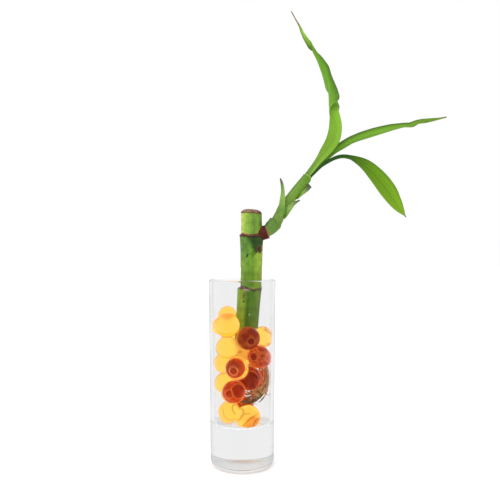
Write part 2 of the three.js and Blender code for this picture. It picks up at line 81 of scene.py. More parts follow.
def linear(red: int, green: int, blue: int) -> Colour:
    """A display colour, 0 to 255, as linear light."""
    parts = [part / 255 for part in (red, green, blue)]
    return (*[p / 12.92 if p <= 0.04045 else ((p + 0.055) / 1.055) ** 2.4 for p in parts], 1.0)


def shades(*stops: tuple[float, int, int, int]) -> Stops:
    """The stops of a colour ramp, each from its place and its display colour."""
    return tuple((place, linear(*colour)) for place, *colour in stops)


def deselect() -> None:
    """Leave nothing selected, the frame's own nodes among it."""
    bpy.ops.object.select_all(action="DESELECT")


def select_only(*pieces: Piece) -> None:
    """Select some pieces and make the first one active.

    Args:
        pieces: The pieces to select.
    """
    deselect()
    for piece in pieces:
        piece.select_set(True)
    bpy.context.view_layer.objects.active = pieces[0]


@contextmanager
def editing(piece: Piece) -> Iterator[None]:
    """Edit mode on one piece with all of it selected, and object mode again afterwards.

    Args:
        piece: The piece to edit.
    """
    select_only(piece)
    bpy.ops.object.mode_set(mode="EDIT")
    bpy.ops.mesh.select_all(action="SELECT")
    yield
    bpy.ops.object.mode_set(mode="OBJECT")


def named(name: str) -> Piece:
    """The piece that was just added, under its own name."""
    piece = bpy.context.object
    piece.name = piece.data.name = name
    return piece


def copy_of(piece: Piece, name: str) -> Piece:
    """A copy of a piece with a mesh of its own.

    Args:
        piece: The piece to copy.
        name: The copy's name.
    Returns:
        The copy.
    """
    copy = piece.copy()
    copy.data = piece.data.copy()
    copy.name = copy.data.name = name
    bpy.context.scene.collection.objects.link(copy)
    return copy


def points_of(piece: Piece) -> Points:
    """A mesh's points, one row each, in metres."""
    flat = np.empty(3 * len(piece.data.vertices))
    piece.data.vertices.foreach_get("co", flat)
    return flat.reshape(-1, 3)


def place_points(piece: Piece, points: Points) -> None:
    """Move a mesh's points to new places, one row each, in metres."""
    piece.data.vertices.foreach_set("co", np.ascontiguousarray(points).ravel())
    piece.data.update()


def add_values(piece: Piece, values: Mapping[str, Points]) -> None:
    """Store values on a mesh's points for its material to read, each under its name."""
    for name, numbers in values.items():
        layer = piece.data.attributes.new(name, "FLOAT", "POINT")
        layer.data.foreach_set("value", np.ascontiguousarray(numbers, dtype=float).ravel())


def laid_grid(
    name: str,
    faces: tuple[int, int],
    place: Callable[[Points, Points], Points],
    values: Callable[[Points, Points], Mapping[str, Points]],
) -> Piece:
    """Lay a grid over a closed surface, then merge its seam and its poles.

    Args:
        name: Name of the piece.
        faces: Number of faces round the surface and along it.
        place: Gives the surface's points in millimetres from the shares round and along.
        values: Gives the values that the material reads, from the same shares.
    Returns:
        The piece, smooth and with its faces outward.
    """
    deselect()
    bpy.ops.mesh.primitive_grid_add(x_subdivisions=faces[0], y_subdivisions=faces[1], size=1)
    piece = named(name)
    around, along = (points_of(piece)[:, :2] + 0.5).T
    place_points(piece, place(around, along) * MM)
    add_values(piece, values(around, along))
    with editing(piece):
        bpy.ops.mesh.remove_doubles(threshold=2e-7)
        bpy.ops.mesh.normals_make_consistent(inside=False)
    bpy.ops.object.shade_smooth()
    return piece


def finished(piece: Piece, finish: Material, slot: str, node: str) -> None:
    """Dress a piece, hang it on the body, hide the frame's node that it stands for and log its
    slot.

    Args:
        piece: The finished piece.
        finish: Its material.
        slot: The record's material slot that it takes its finish from.
        node: The frame's node that it replaces.
    """
    piece.data.materials.clear()
    piece.data.materials.append(finish)
    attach(piece, BODY)
    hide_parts(node)
    LOG.info("%s: %d faces, slot %s", piece.name, len(piece.data.polygons), slot)


def noise_at(points: Points, scale: float, seed: float) -> Points:
    """Smooth noise from -1 to 1 at each point.

    Args:
        points: Points in millimetres, one row each.
        scale: Size of the noise's lumps, in millimetres.
        seed: Shifts the noise, so that pieces differ.
    Returns:
        One number a point.
    """
    shift = Vector((seed, 1.7 * seed, -seed))
    return np.array([noise.noise(Vector(p) / scale + shift) for p in points.tolist()])


def unit(rows: Points) -> Points:
    """Rows of vectors, each made one long."""
    return rows / np.maximum(np.linalg.norm(rows, axis=-1, keepdims=True), 1e-9)


def hump(away: Points, width: float) -> Points:
    """One at no distance, falling softly to nothing beyond a width."""
    return np.exp(-((away / width) ** 2))


def rounded_ends(along: Points, run: float) -> Points:
    """How full a skin is along its length: nothing at its ends, and full after a short run.

    Args:
        along: Shares along the skin.
        run: The share of its length that each end takes.
    Returns:
        A share for each place.
    """
    ends = np.clip(np.minimum(along, 1 - along) / run, 0, 1) ** 0.5
    return np.where((along < SEAM) | (along > 1 - SEAM), 0, ends)


class Curve:
    """A smooth curve through points, the same one that the frame's solids follow."""

    def __init__(self, points: Sequence[Sequence[float]]) -> None:
        """Keep the curve's points, with one more beyond each end."""
        rows = np.array(points, dtype=float)
        self.ends = np.vstack([2 * rows[0] - rows[1], rows, 2 * rows[-1] - rows[-2]])
        self.spans = len(rows) - 1

    def at(self, shares: Points) -> Points:
        """Points of the curve.

        Args:
            shares: Shares of the way along, from 0 to 1.
        Returns:
            One row for each share.
        """
        place = np.clip(shares, 0, 1) * self.spans
        span = np.minimum(place.astype(int), self.spans - 1)
        t = (place - span)[:, None]
        a, b, c, d = (self.ends[span + k] for k in range(4))
        pairs = ((a, b), (b, c), (c, d))
        gaps = [np.sum((q - p) ** 2, axis=1, keepdims=True) ** 0.25 for p, q in pairs]
        before, here, after = (np.maximum(gap, 1e-4) for gap in gaps)
        start = ((b - a) / before - (c - a) / (before + here) + (c - b) / here) * here
        end = ((c - b) / here - (d - b) / (here + after) + (d - c) / after) * here
        cubic = 2 * b - 2 * c + start + end
        square = -3 * b + 3 * c - 2 * start - end
        return b + start * t + square * t**2 + cubic * t**3

    def direction(self, shares: Points) -> Points:
        """Unit directions along the curve at some shares of the way."""
        step = 1e-4
        return unit(self.at(np.minimum(shares + step, 1)) - self.at(np.maximum(shares - step, 0)))

    def rings(self, around: Points, along: Points) -> tuple[Points, Points, Points, Points]:
        """The rings of a tube along the curve.

        Args:
            around: Shares round the tube.
            along: Shares along it.
        Returns:
            For each pair of shares its middle, the direction along, the one outward, and the angle.
        """
        middle, forward = self.at(along), self.direction(along)
        across = unit(np.cross(forward, FORWARD))
        upward = np.cross(forward, across)
        angle = 2 * np.pi * np.where(around > 1 - SEAM, 0, around)
        out = across * np.cos(angle)[:, None] + upward * np.sin(angle)[:, None]
        return middle, forward, out, angle


# Materials


class Tree:
    """Adds nodes to one node tree, each with its values and links."""

    def __init__(self, tree: Group) -> None:
        """Start on a tree."""
        self.tree = tree

    def set(self, node: bpy.types.Node, inputs: Mapping) -> None:
        """Give a node its values and links.

        Args:
            node: The node.
            inputs: Values or sockets for its inputs, by name or number.
        """
        for key, value in inputs.items():
            if isinstance(value, Socket):
                self.tree.links.new(value, node.inputs[key])
            else:
                node.inputs[key].default_value = value

    def add(self, kind: str, inputs: Mapping | None = None, **settings) -> bpy.types.Node:
        """Add one node.

        Args:
            kind: The node's type, without the words before its own name.
            inputs: Values or sockets for its inputs, by name or number.
            settings: The node's own properties.
        Returns:
            The node.
        """
        node = self.tree.nodes.new(f"ShaderNode{kind}")
        for name, value in settings.items():
            setattr(node, name, value)
        self.set(node, inputs or {})
        return node

    def math(self, operation: str, first, second=0.0, third=0.0) -> Socket:
        """A sum of up to three numbers or sockets."""
        return self.add("Math", {0: first, 1: second, 2: third}, operation=operation).outputs[0]

    def times(self, first, second, more=0.0) -> Socket:
        """The product of two numbers or sockets, and a third one added to it."""
        return self.math("MULTIPLY_ADD", first, second, more)

    def most(self, first, *others) -> Socket:
        """The largest of some numbers or sockets."""
        for other in others:
            first = self.math("MAXIMUM", first, other)
        return first

    def stray(self, value, wander, reach: float) -> Socket:
        """A value moved to either side by a noise from 0 to 1."""
        return self.times(self.math("SUBTRACT", wander, 0.5), reach, value)

    def vector_math(self, operation: str, first, second=(0.0, 0.0, 0.0)) -> bpy.types.Node:
        """A sum of two vectors."""
        return self.add("VectorMath", {0: first, 1: second}, operation=operation)

    def mix(self, share, first, second, blend: str = "MIX") -> Socket:
        """A mix of two colours, by a number or a mask."""
        inputs = {0: share, 6: first, 7: second}
        return self.add("Mix", inputs, data_type="RGBA", blend_type=blend).outputs[2]

    def tint(self, skin, colour, mask, strength: float) -> Socket:
        """A colour laid over another where a mask says, at some strength."""
        return self.mix(self.times(mask, strength), skin, colour)

    def shade(self, skin, level) -> Socket:
        """A colour made darker or lighter by a level."""
        return self.mix(1.0, skin, self.vector(level, level, level), "MULTIPLY")

    def range(self, value, low, high, to: tuple = (0.0, 1.0)) -> Socket:
        """A value eased from one range to another and held at its ends."""
        names = ("Value", "From Min", "From Max", "To Min", "To Max")
        inputs = dict(zip(names, (value, low, high, *to)))
        return self.add("MapRange", inputs, interpolation_type="SMOOTHSTEP").outputs[0]

    def ramp(self, value, stops: Stops) -> Socket:
        """Colours along a value.

        Args:
            value: The socket that runs along the ramp.
            stops: Places from 0 to 1 and their colours.
        Returns:
            The colour socket.
        """
        node = self.add("ValToRGB", {0: value})
        elements = node.color_ramp.elements
        elements[0].position, elements[0].color = stops[0]
        elements[1].position, elements[1].color = stops[-1]
        for position, colour in stops[1:-1]:
            elements.new(position).color = colour
        return node.outputs[0]

    def noise(self, vector, scale: float, detail: float = 3.0) -> Socket:
        """Soft noise from 0 to 1."""
        return self.add("TexNoise", {"Vector": vector, "Scale": scale, "Detail": detail}).outputs[0]

    def vector(self, x, y=0.0, z=0.0) -> Socket:
        """A vector of three numbers or sockets."""
        return self.add("CombineXYZ", {0: x, 1: y, 2: z}).outputs[0]

    def split(self, vector) -> Sequence[Socket]:
        """The three parts of a vector."""
        return self.add("SeparateXYZ", {0: vector}).outputs

    def value(self, name: str) -> Socket:
        """A value that the mesh carries."""
        return self.add("Attribute", attribute_name=name).outputs["Fac"]

    def facing(self) -> Socket:
        """How far the surface turns away from the eye, from 0 to 1."""
        return self.add("LayerWeight").outputs["Facing"]

    def millimetres(self) -> Socket:
        """Object coordinates in millimetres."""
        place = self.add("TexCoord").outputs["Object"]
        return self.vector_math("MULTIPLY", place, (1000.0,) * 3).outputs[0]

    def cover(self, surface: bpy.types.Node, skin, rough, shine: float, relief: tuple) -> None:
        """Give an opaque surface its look.

        Args:
            surface: The Principled shader.
            skin: Its colour.
            rough: Its roughness.
            shine: Its mirror level.
            relief: A height, its depth in millimetres, and the strength of its bumps.
        """
        height, depth, strength = relief
        inputs = {"Strength": strength, "Distance": depth * MM, "Height": height}
        normal = self.add("Bump", inputs).outputs[0]
        inputs = {"Base Color": skin, "Roughness": rough, "Specular IOR Level": shine}
        self.set(surface, {**inputs, "Normal": normal})


def new_finish(name: str) -> tuple[Material, Tree, bpy.types.Node]:
    """An empty material.

    Args:
        name: The material's name.
    Returns:
        The material, its tree, and the Principled shader that its surface is made with.
    """
    material = bpy.data.materials.new(name)
    material.use_nodes = True
    nodes = material.node_tree.nodes
    return material, Tree(material.node_tree), nodes["Principled BSDF"]


class Effects:
    """The surface effects that several finishes share, each one a node group that is built once."""

    @staticmethod
    def new_group(name: str, **inputs: float | Spot) -> tuple[Tree, Mapping[str, Socket]]:
        """An empty node group.

        Args:
            name: The group's name.
            inputs: The first value of each input: three numbers make it a vector.
        Returns:
            The group's tree, and the sockets of its inputs by name.
        """
        group = bpy.data.node_groups.new(name, "ShaderNodeTree")
        for label, start in inputs.items():
            kind = "NodeSocketVector" if isinstance(start, tuple) else "NodeSocketFloat"
            socket = group.interface.new_socket(label, in_out="INPUT", socket_type=kind)
            socket.default_value = start
        return Tree(group), group.nodes.new("NodeGroupInput").outputs

    @staticmethod
    def put_out(tree: Tree, name: str, socket: Socket) -> Group:
        """Close a group with its one output.

        Args:
            tree: The group's tree.
            name: The output's name.
            socket: What it puts out.
        Returns:
            The group.
        """
        tree.tree.interface.new_socket(name, in_out="OUTPUT", socket_type="NodeSocketFloat")
        tree.set(tree.tree.nodes.new("NodeGroupOutput"), {name: socket})
        return tree.tree

    @staticmethod
    def placed(tree: Tree, group: Group, *values) -> Socket:
        """A group placed in a material.

        Args:
            tree: The material's tree.
            group: The node group.
            values: Its values or sockets, in order.
        Returns:
            The group's output.
        """
        node = tree.tree.nodes.new("ShaderNodeGroup")
        node.node_tree = group
        tree.set(node, dict(enumerate(values)))
        return node.outputs[0]

    @cached_property
    def spot(self) -> Group:
        """An oval spot with a ragged edge, as a mask.

        Returns:
            The group.
        """
        none = (0.0, 0.0, 0.0)
        tree, given = self.new_group(
            "ragged_spot", Place=none, Centre=none, Size=(1.0, 1.0, 1.0), Ragged=0.3, Soft=0.3
        )
        away = tree.vector_math("SUBTRACT", given["Place"], given["Centre"]).outputs[0]
        shaped = tree.vector_math("DIVIDE", away, given["Size"]).outputs[0]
        reach = tree.vector_math("LENGTH", shaped).outputs["Value"]
        rough = tree.math("SUBTRACT", tree.noise(given["Place"], 0.9, 4), 0.5)
        reach = tree.times(rough, given["Ragged"], reach)
        inner = tree.math("SUBTRACT", 1.0, given["Soft"])
        outer = tree.math("ADD", 1.0, given["Soft"])
        return self.put_out(tree, "Mask", tree.range(reach, inner, outer, (1.0, 0.0)))

    @cached_property
    def fibres(self) -> Group:
        """Fine streaks that run along a stem or a blade, from 0 to 1.

        Returns:
            The group.
        """
        tree, given = self.new_group("fibres", Across=0.0, Along=0.0, Fine=30.0, Long=1.0)
        across = tree.times(given["Across"], given["Fine"])
        along = tree.times(given["Along"], given["Long"])
        broad = tree.noise(tree.vector(across, along), 1.0, 2)
        fine = tree.noise(tree.vector(across, along, 7.0), 2.7, 4)
        return self.put_out(tree, "Streaks", tree.times(fine, 0.45, tree.times(broad, 0.55)))

    @cached_property
    def freckles(self) -> Group:
        """Small scattered flecks, as a mask.

        Returns:
            The group.
        """
        tree, given = self.new_group("freckles", Place=(0.0, 0.0, 0.0), Scale=1.0, Share=0.2)
        place = given["Place"]
        cells = tree.add("TexVoronoi", {"Vector": place, "Scale": given["Scale"]}).outputs[0]
        patches = tree.add("TexNoise", {"Vector": place, "Scale": 0.22}).outputs[0]
        limit = tree.times(tree.range(patches, 0.4, 0.65), given["Share"])
        near = tree.math("SUBTRACT", limit, cells)
        return self.put_out(tree, "Mask", tree.range(near, -0.05, 0.08))

    def spot_on(self, tree: Tree, place: Socket, x, y, wide, high, ragged, soft) -> Socket:
        """A spot's mask on a flat place: its middle, its half sizes, and its ragged, soft edge."""
        return self.placed(tree, self.spot, place, (x, y, 0.0), (wide, high, 1.0), ragged, soft)

    def streaks(self, tree: Tree, across, along, fine: float, long: float) -> Socket:
        """Streaks in a material, from its places across and along."""
        return self.placed(tree, self.fibres, across, along, fine, long)

    def flecks(self, tree: Tree, place: Socket, scale: float, share: float) -> Socket:
        """The mask of a material's flecks, in flecks a millimetre and their share."""
        return self.placed(tree, self.freckles, place, scale, share)


# Glass


@dataclass(frozen=True)
class ClearFinish:
    """A clear solid, coloured through its depth."""

    name: str
    ior: float
    tint: Colour
    depth_tint: Colour
    depth_density: float
    mirror_tint: Colour
    # Painted light and shade: the colour that the solid turns to at its edges, where it turns away
    # from the eye.
    painted_edge_shading: Colour
    lost_light: Colour
    roughness: float = 0.0
    glossy_turns: float = 3.5
    clear_turns: float = 11.5

    def build(self, effects: Effects) -> Material:
        """The material.

        Args:
            effects: The shared effects.
        Returns:
            The material.
        """
        material, tree, surface = new_finish(self.name)
        look = self.look(tree, effects, self.light_of_long_paths(tree))
        plain = {
            "Roughness": self.roughness,
            "IOR": self.ior,
            "Transmission Weight": 1.0,
            "Specular Tint": self.mirror_tint,
            "Emission Strength": 1.0,
        }
        tree.set(surface, {**plain, **look})
        inputs = {"Color": self.depth_tint, "Density": self.depth_density}
        depth = tree.add("VolumeAbsorption", inputs).outputs[0]
        tree.set(material.node_tree.nodes["Material Output"], {"Volume": depth})
        return material

    def light_of_long_paths(self, tree: Tree) -> Socket:
        """The light at the end of a path that turns in the solid too often to be followed.

        Args:
            tree: The material's tree.
        Returns:
            Its colour.
        """
        paths = tree.add("LightPath").outputs
        turned = tree.math("GREATER_THAN", paths["Glossy Depth"], self.glossy_turns)
        deep = tree.math("GREATER_THAN", paths["Transmission Depth"], self.clear_turns)
        return tree.mix(tree.most(turned, deep), BLACK, self.lost_light)

    def look(self, tree: Tree, effects: Effects, lost: Socket) -> Mapping[str, Socket]:
        """The shader's inputs that each clear solid makes in its own way."""
        raise NotImplementedError


@dataclass(frozen=True)
class GlassFinish(ClearFinish):
    """Polished glass, rippled at its floor and frosted at its foot and its rim."""

    # Painted light: the glow that the glass's foot gives off.
    foot_glow: Colour = (0.13, 0.15, 0.155, 1.0)
    foot: Pair = (0.6, 0.8)
    foot_frost: float = 0.5
    rippled_at: float = 23.2
    ripple: float = 0.25
    rim: Pair = (103.0, 103.4)
    rim_frost: float = 0.2

    def look(self, tree: Tree, effects: Effects, lost: Socket) -> Mapping[str, Socket]:
        """The glass's colour with its painted edge shade, its roughness, and its light, with a
        painted glow at its foot.

        Args:
            tree: The material's tree.
            effects: The shared effects.
            lost: The light of paths that can't be followed.
        Returns:
            The shader's inputs, by name.
        """
        z = tree.split(tree.millimetres())[2]
        gap = tree.math("ABSOLUTE", tree.math("SUBTRACT", z, self.rippled_at))
        ripples = tree.times(tree.range(gap, 0.2, 0.4, (1.0, 0.0)), self.ripple)
        foot = tree.range(z, *self.foot, (self.foot_frost, 0.0))
        rim = tree.range(z, *self.rim, (0.0, self.rim_frost))
        # Painted shade: the glass turns an uneven darker grey where its surface turns away from the
        # eye.
        edge = tree.range(tree.facing(), 0.5, 0.85)
        uneven = tree.range(tree.noise(tree.millimetres(), 0.07, 2), 0.4, 0.6, (0.3, 1.0))
        # Painted light: the foot of the glass glows, added to the light of lost paths.
        lit = tree.range(z, *self.foot, (1.0, 0.0))
        return {
            "Base Color": tree.mix(tree.times(edge, uneven), self.tint, self.painted_edge_shading),
            "Roughness": tree.most(ripples, foot, rim),
            "Emission Color": tree.mix(lit, lost, self.foot_glow, "ADD"),
        }


@dataclass(frozen=True)
class GelFinish(ClearFinish):
    """Water-swollen gel with painted light in it: a glow that stands in for light scattered in the
    gel.

    It reads the marks that its mesh carries: the creases where it is pressed, rings and darker
    hearts. It paints them as painted shade and as lighter or darker painted lines, and it paints
    its edges lighter or darker too.
    """

    # Painted light: the glows for light scattered in the gel, for its brighter clouds, for its
    # lines and for its dimples' dimmer hearts.
    glow: Colour = BLACK
    cloud_glow: Colour = BLACK
    line_glow: Colour = BLACK
    # The colour of the painted shade in creases and folds, and of the gel's flecks.
    crease_shade_and_fleck_tint: Colour = WHITE
    # The colour of the painted shade in the dimples' hearts.
    heart_shade: Colour = WHITE
    heart_glow: Colour = BLACK
    crease_strength: float = 0.5

    def look(self, tree: Tree, effects: Effects, lost: Socket) -> Mapping[str, Socket]:
        """The gel's colour with its painted edge shading and painted shade, and its painted light.

        Args:
            tree: The material's tree.
            effects: The shared effects.
            lost: The light of paths that can't be followed.
        Returns:
            The shader's inputs, by name.
        """
        place = tree.millimetres()
        crease, ring, heart = (tree.value(name) for name in ("crease", "ring", "heart"))
        # Painted light and shade at the bead's edge: its colour turns to its edge colour where the
        # surface turns away from the eye.
        rim = tree.range(tree.facing(), 0.56, 0.84)
        skin = tree.tint(self.tint, self.painted_edge_shading, rim, 0.85)
        # Painted shade in the creases and folds where the bead is pressed; the flecks below are the
        # gel's own.
        skin = tree.tint(skin, self.crease_shade_and_fleck_tint, crease, 0.8)
        # Painted shade in the hearts of the dimples.
        skin = tree.tint(skin, self.heart_shade, heart, 0.8)
        skin = tree.tint(skin, self.crease_shade_and_fleck_tint, effects.flecks(tree, place, 0.9, 0.16), 0.6)
        # Painted light: a glow for light scattered in the gel, brighter in clouds and dimmer in the
        # dimples' hearts, with lighter or darker painted lines at the outline, the rings and the
        # creases.
        outline = tree.times(rim, tree.value("outline"))
        creases = tree.times(crease, self.crease_strength)
        cloud = tree.range(tree.noise(place, 0.34, 2), 0.46, 0.61)
        shine = tree.mix(cloud, self.glow, self.cloud_glow)
        shine = tree.tint(shine, self.heart_glow, heart, 0.75)
        lines = tree.most(tree.times(ring, 0.85), outline, creases)
        shine = tree.mix(lines, shine, self.line_glow)
        return {"Base Color": skin, "Emission Color": tree.mix(1.0, lost, shine, "ADD")}


@dataclass
class Tumbler:
    """The straight glass with a rounded rim and a thick solid foot."""

    height: float = 104.0
    rim_radius: float = 19.0
    base_radius: float = 17.8
    heel_radius: float = 4.0
    floor_height: float = 23.2
    floor_corner: float = 3.0
    rim_wall: float = 1.5
    foot_wall: float = 2.0
    punt_radius: float = 12.0
    punt_depth: float = 0.5
    steps_round: int = 128

    def outer_radius(self, z: Points | float) -> Points | float:
        """The wall's outer radius at a height."""
        return self.base_radius + (self.rim_radius - self.base_radius) * z / self.height

    def inner_radius(self, z: Points | float) -> Points | float:
        """The wall's inner radius at a height."""
        share = (z - self.floor_height) / (self.height - self.floor_height)
        return self.outer_radius(z) - (self.foot_wall + (self.rim_wall - self.foot_wall) * share)

    def kept_inside(self, points: Points, gap: float, corner: float = 0.0) -> Points:
        """Points moved inside the wall and above the floor.

        Args:
            points: Points in millimetres, one row each.
            gap: How far off the glass they stay.
            corner: The radius that the floor's corner is rounded with.
        Returns:
            The points.
        """
        lift = np.clip(self.floor_height + corner - points[:, 2], 0, corner)
        walls = self.inner_radius(points[:, 2]) - gap
        walls -= corner - np.sqrt(np.maximum(corner**2 - lift**2, 0))
        across = np.hypot(points[:, 0], points[:, 1])
        points[:, :2] *= np.minimum(1, walls / np.maximum(across, 1e-6))[:, None]
        points[:, 2] = np.maximum(points[:, 2], self.floor_height + gap)
        return points

    def profile(self) -> list[Pair]:
        """Half of the section, from the middle of the base round to the middle of the floor.

        Returns:
            The section's points: how far out each one is, and its height.
        """

        def arc(x: float, z: float, radius: float, start: float, end: float, steps: int) -> list:
            """Points of an arc round a middle, between two angles in degrees."""
            angles = np.radians(np.linspace(start, end, steps + 1))
            return [(x + radius * math.cos(a), z + radius * math.sin(a)) for a in angles]

        lip, heel, corner = self.rim_wall / 2, self.heel_radius, self.floor_corner
        rise = self.height - lip
        turn = self.floor_height + corner
        floor = self.inner_radius(turn) - corner
        return [
            *(
                (self.punt_radius * s, self.punt_depth * (1 + math.cos(math.pi * s)) / 2)
                for s in np.linspace(0, 1, 13)
            ),
            *arc(self.outer_radius(heel) - heel, heel, heel, -90, 0, 12),
            *((self.outer_radius(z), z) for z in np.linspace(heel + 1, rise - 1, 24)),
            *arc(self.outer_radius(rise) - lip, rise, lip, 0, 180, 12),
            *((self.inner_radius(z), z) for z in np.linspace(rise - 1, turn + 1, 20)),
            *arc(floor, turn, corner, 0, -90, 10),
            *((floor * s, self.floor_height) for s in np.linspace(1, 0, 7)[1:]),
        ]

    def build(self) -> Piece:
        """The glass: its section, drawn on a circle's points, spun round the upright axis.

        Returns:
            The piece.
        """
        section = self.profile()
        deselect()
        bpy.ops.mesh.primitive_circle_add(vertices=len(section), radius=MM)
        piece = named("glass_tumbler")
        place_points(piece, np.array([(x, 0.0, z) for x, z in section]) * MM)
        with editing(piece):
            turn = {"angle": 2 * math.pi, "center": (0, 0, 0), "axis": (0, 0, 1)}
            bpy.ops.mesh.spin(steps=self.steps_round, **turn)
            bpy.ops.mesh.select_all(action="SELECT")
            bpy.ops.mesh.remove_doubles(threshold=1e-6)
            bpy.ops.mesh.dissolve_degenerate()
            bpy.ops.mesh.normals_make_consistent(inside=False)
        bpy.ops.object.shade_smooth()
        return piece

    def dress(self, piece: Piece, effects: Effects) -> None:
        """Give the glass its finish.

        Args:
            piece: The glass.
            effects: The shared effects.
        """
        # The edge colour is painted shade, and the foot glow is painted light.
        finish = GlassFinish(
            "clear_glass", 1.5, tint=(0.916, 0.917, 0.918, 1), depth_tint=(0.93, 0.932, 0.931, 1),
            depth_density=45.0, mirror_tint=(0.1, 0.1, 0.1, 1), painted_edge_shading=(0.6, 0.62, 0.62, 1),
            lost_light=(0.46, 0.46, 0.46, 1), rippled_at=self.floor_height,
            rim=(self.height - 1.0, self.height - 0.6),
        )
        finished(piece, finish.build(effects), "glass", "glass")


# Gel beads


class Gel(Enum):
    """The two colours of gel, with the record's slot of each."""

    YELLOW = "yellow_gel"
    RED = "red_gel"


@dataclass(frozen=True)
class Bead:
    """One gel bead: its node's number, its colour, its dents, and the faces and point of its form.

    Each face is a direction and the share of the radius that it lies at. Each dimple is a
    direction, its half width and its depth. Each fold is a line over the front, given by shares
    of the radius across and up. A deep bead takes a darker copy of the red gel, with a dimmer
    painted glow: painted shade.
    """

    number: int
    gel: Gel
    dents: float = 0.06
    pull: Spot = (0.0, 0.0, 0.0)
    faces: Rows = ()
    dimples: Rows = ()
    swelling: float = 1.035
    shift: Spot = (0.0, 0.0, 0.0)
    core: tuple[float, ...] | None = None
    outline: float = 0.9
    folds: tuple[Rows, ...] = ()
    fold_width: float = 0.32
    deep: bool = False

    @property
    def node(self) -> str:
        """The name of the frame's node that the bead replaces."""
        return f"gel_bead_{self.number:02d}"


@dataclass
class BeadHeap:
    """The heap of swollen beads, pressed flat where one meets another, the cane or the glass."""

    glass: Tumbler
    skin: float = 0.04
    line_width: float = 0.18
    crease_width: float = 0.26
    fold_depth: float = 0.1
    face_give: float = 0.9
    beads: tuple[Bead, ...] = (
        Bead(1, Gel.YELLOW, 0.3, faces=((0.5, 0.6, -0.5, 0.85), (0.0, -0.5, -1.0, 0.35))),
        Bead(2, Gel.YELLOW, 0.25, (-2.2, -0.4, -0.3), swelling=1.1, shift=(0.9, -0.3, -0.35)),
        Bead(3, Gel.YELLOW, 0.25, faces=((-0.3, 1.0, -0.2, 0.8),)),
        Bead(
            4, Gel.YELLOW, 0.3, (0.5, -0.2, -0.9), ((0.6, -0.2, 0.7, 0.86), (-0.1, 1.0, -0.4, 0.8)),
            swelling=1.12, shift=(0.35, 0.0, 0.1), fold_width=0.7,
            folds=(
                ((0.17, 0.73), (0.5, 0.52), (0.8, 0.26)),
                ((0.86, 0.16), (0.9, -0.1), (0.84, -0.42)),
                ((0.36, -0.62), (0.48, -0.76)),
            ),
        ),
        Bead(5, Gel.RED, dimples=((0.25, -0.95, -0.14, 2.2, 0.5),), outline=0.25, deep=True),
        Bead(
            6, Gel.RED, faces=((0.6, 0.9, -0.1, 0.86), (0.8, -0.62, 0.1, 0.94)),
            dimples=((-0.5, -0.85, 0.17, 2.4, 0.45),),
            pull=(0.5, 0.0, -0.4), shift=(0.5, 0.0, 0.1), outline=0.6,
            folds=(((-0.2, 0.9), (-0.02, 0.4), (-0.1, -0.3), (0.02, -0.8)),),
        ),
        Bead(7, Gel.RED, dimples=((-0.25, -0.95, -0.1, 2.3, 0.3),), core=(-0.62, -0.5, 0.2, 4.25)),
        Bead(
            8, Gel.RED, faces=((0.6, 0.8, 0.2, 0.85),), dimples=((-0.08, -0.98, -0.1, 6.4, 0.0),),
            swelling=1.16, shift=(-1.5, 0.4, 0.9), outline=0.4, deep=True,
        ),
        Bead(
            9, Gel.RED, faces=((-0.3, -0.9, 0.4, 0.86),), swelling=1.15, shift=(1.5, 0.0, -0.3),
            outline=0.45,
        ),
        Bead(
            10, Gel.RED, faces=((0.6, 1.0, 0.4, 0.85), (0.25, -0.1, -1.0, 0.9)),
            dimples=((-0.36, -0.93, 0.03, 2.3, 0.5), (0.5, -0.85, 0.3, 4.2, 0.1)),
            shift=(0.0, 0.0, 0.4), outline=0.85,
        ),
        Bead(
            11, Gel.YELLOW, 0.4, faces=((-0.75, -0.5, 0.45, 0.88), (0.8, -0.45, -0.35, 0.88)),
            swelling=1.1, shift=(0.0, -0.4, -1.1),
            folds=(
                ((-0.4, -0.5), (-0.1, -0.1), (0.3, 0.24), (0.78, 0.46)),
                ((-0.66, 0.3), (-0.3, 0.5), (0.1, 0.56)),
            ),
        ),
        Bead(
            12, Gel.YELLOW, 0.3, faces=((0.75, -0.5, 0.4, 0.88),), swelling=1.1,
            shift=(0.0, 0.0, -0.5),
            folds=(
                ((-0.5, 0.46), (-0.44, 0.0), (-0.05, -0.4), (0.24, -0.5), (0.48, -0.42)),
                ((0.1, -0.9), (0.38, -0.6), (0.47, -0.4)),
            ),
        ),
        Bead(
            13, Gel.YELLOW, dimples=((0.05, -0.8, 0.6, 5.4, 0.0),), swelling=1.22,
            shift=(0.0, -1.0, 1.6),
        ),
        *(Bead(number, Gel.YELLOW, swelling=1.1) for number in (14, 15, 16)),
        Bead(17, Gel.RED, swelling=1.1),
        Bead(18, Gel.YELLOW, swelling=1.15),
        Bead(19, Gel.RED, swelling=1.15),
    )

    def homes(self) -> dict[int, tuple[Points, float]]:
        """Where the beads are.

        Returns:
            Centre and radius of every swollen bead, by number.
        """
        homes = {}
        for bead in self.beads:
            low, high = (np.array(corner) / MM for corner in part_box(bead.node))
            middle = (low + high) / 2 + np.array(bead.shift)
            homes[bead.number] = (middle, bead.swelling * float(np.max(high - low)) / 2)
        return homes

    def build(self, cane: "Cane") -> dict[str, Piece]:
        """Copy one ball for each bead and press it into its place.

        Args:
            cane: The cane that the beads lean on.
        Returns:
            The beads, by the name of the node that each one replaces.
        """
        deselect()
        bpy.ops.mesh.primitive_ico_sphere_add(subdivisions=6, radius=1)
        ball = named("gel_ball")
        bpy.ops.object.shade_smooth()
        directions = unit(points_of(ball))
        homes = self.homes()
        pieces = {}
        for bead in self.beads:
            piece = copy_of(ball, f"pressed_gel_{bead.number:02d}")
            points, marks = self.pressed(bead, homes, directions, cane)
            place_points(piece, points * MM)
            add_values(piece, marks)
            if bead.core:
                self.add_core(piece, ball, bead, homes[bead.number][0])
            pieces[bead.node] = piece
        bpy.data.objects.remove(ball)
        return pieces

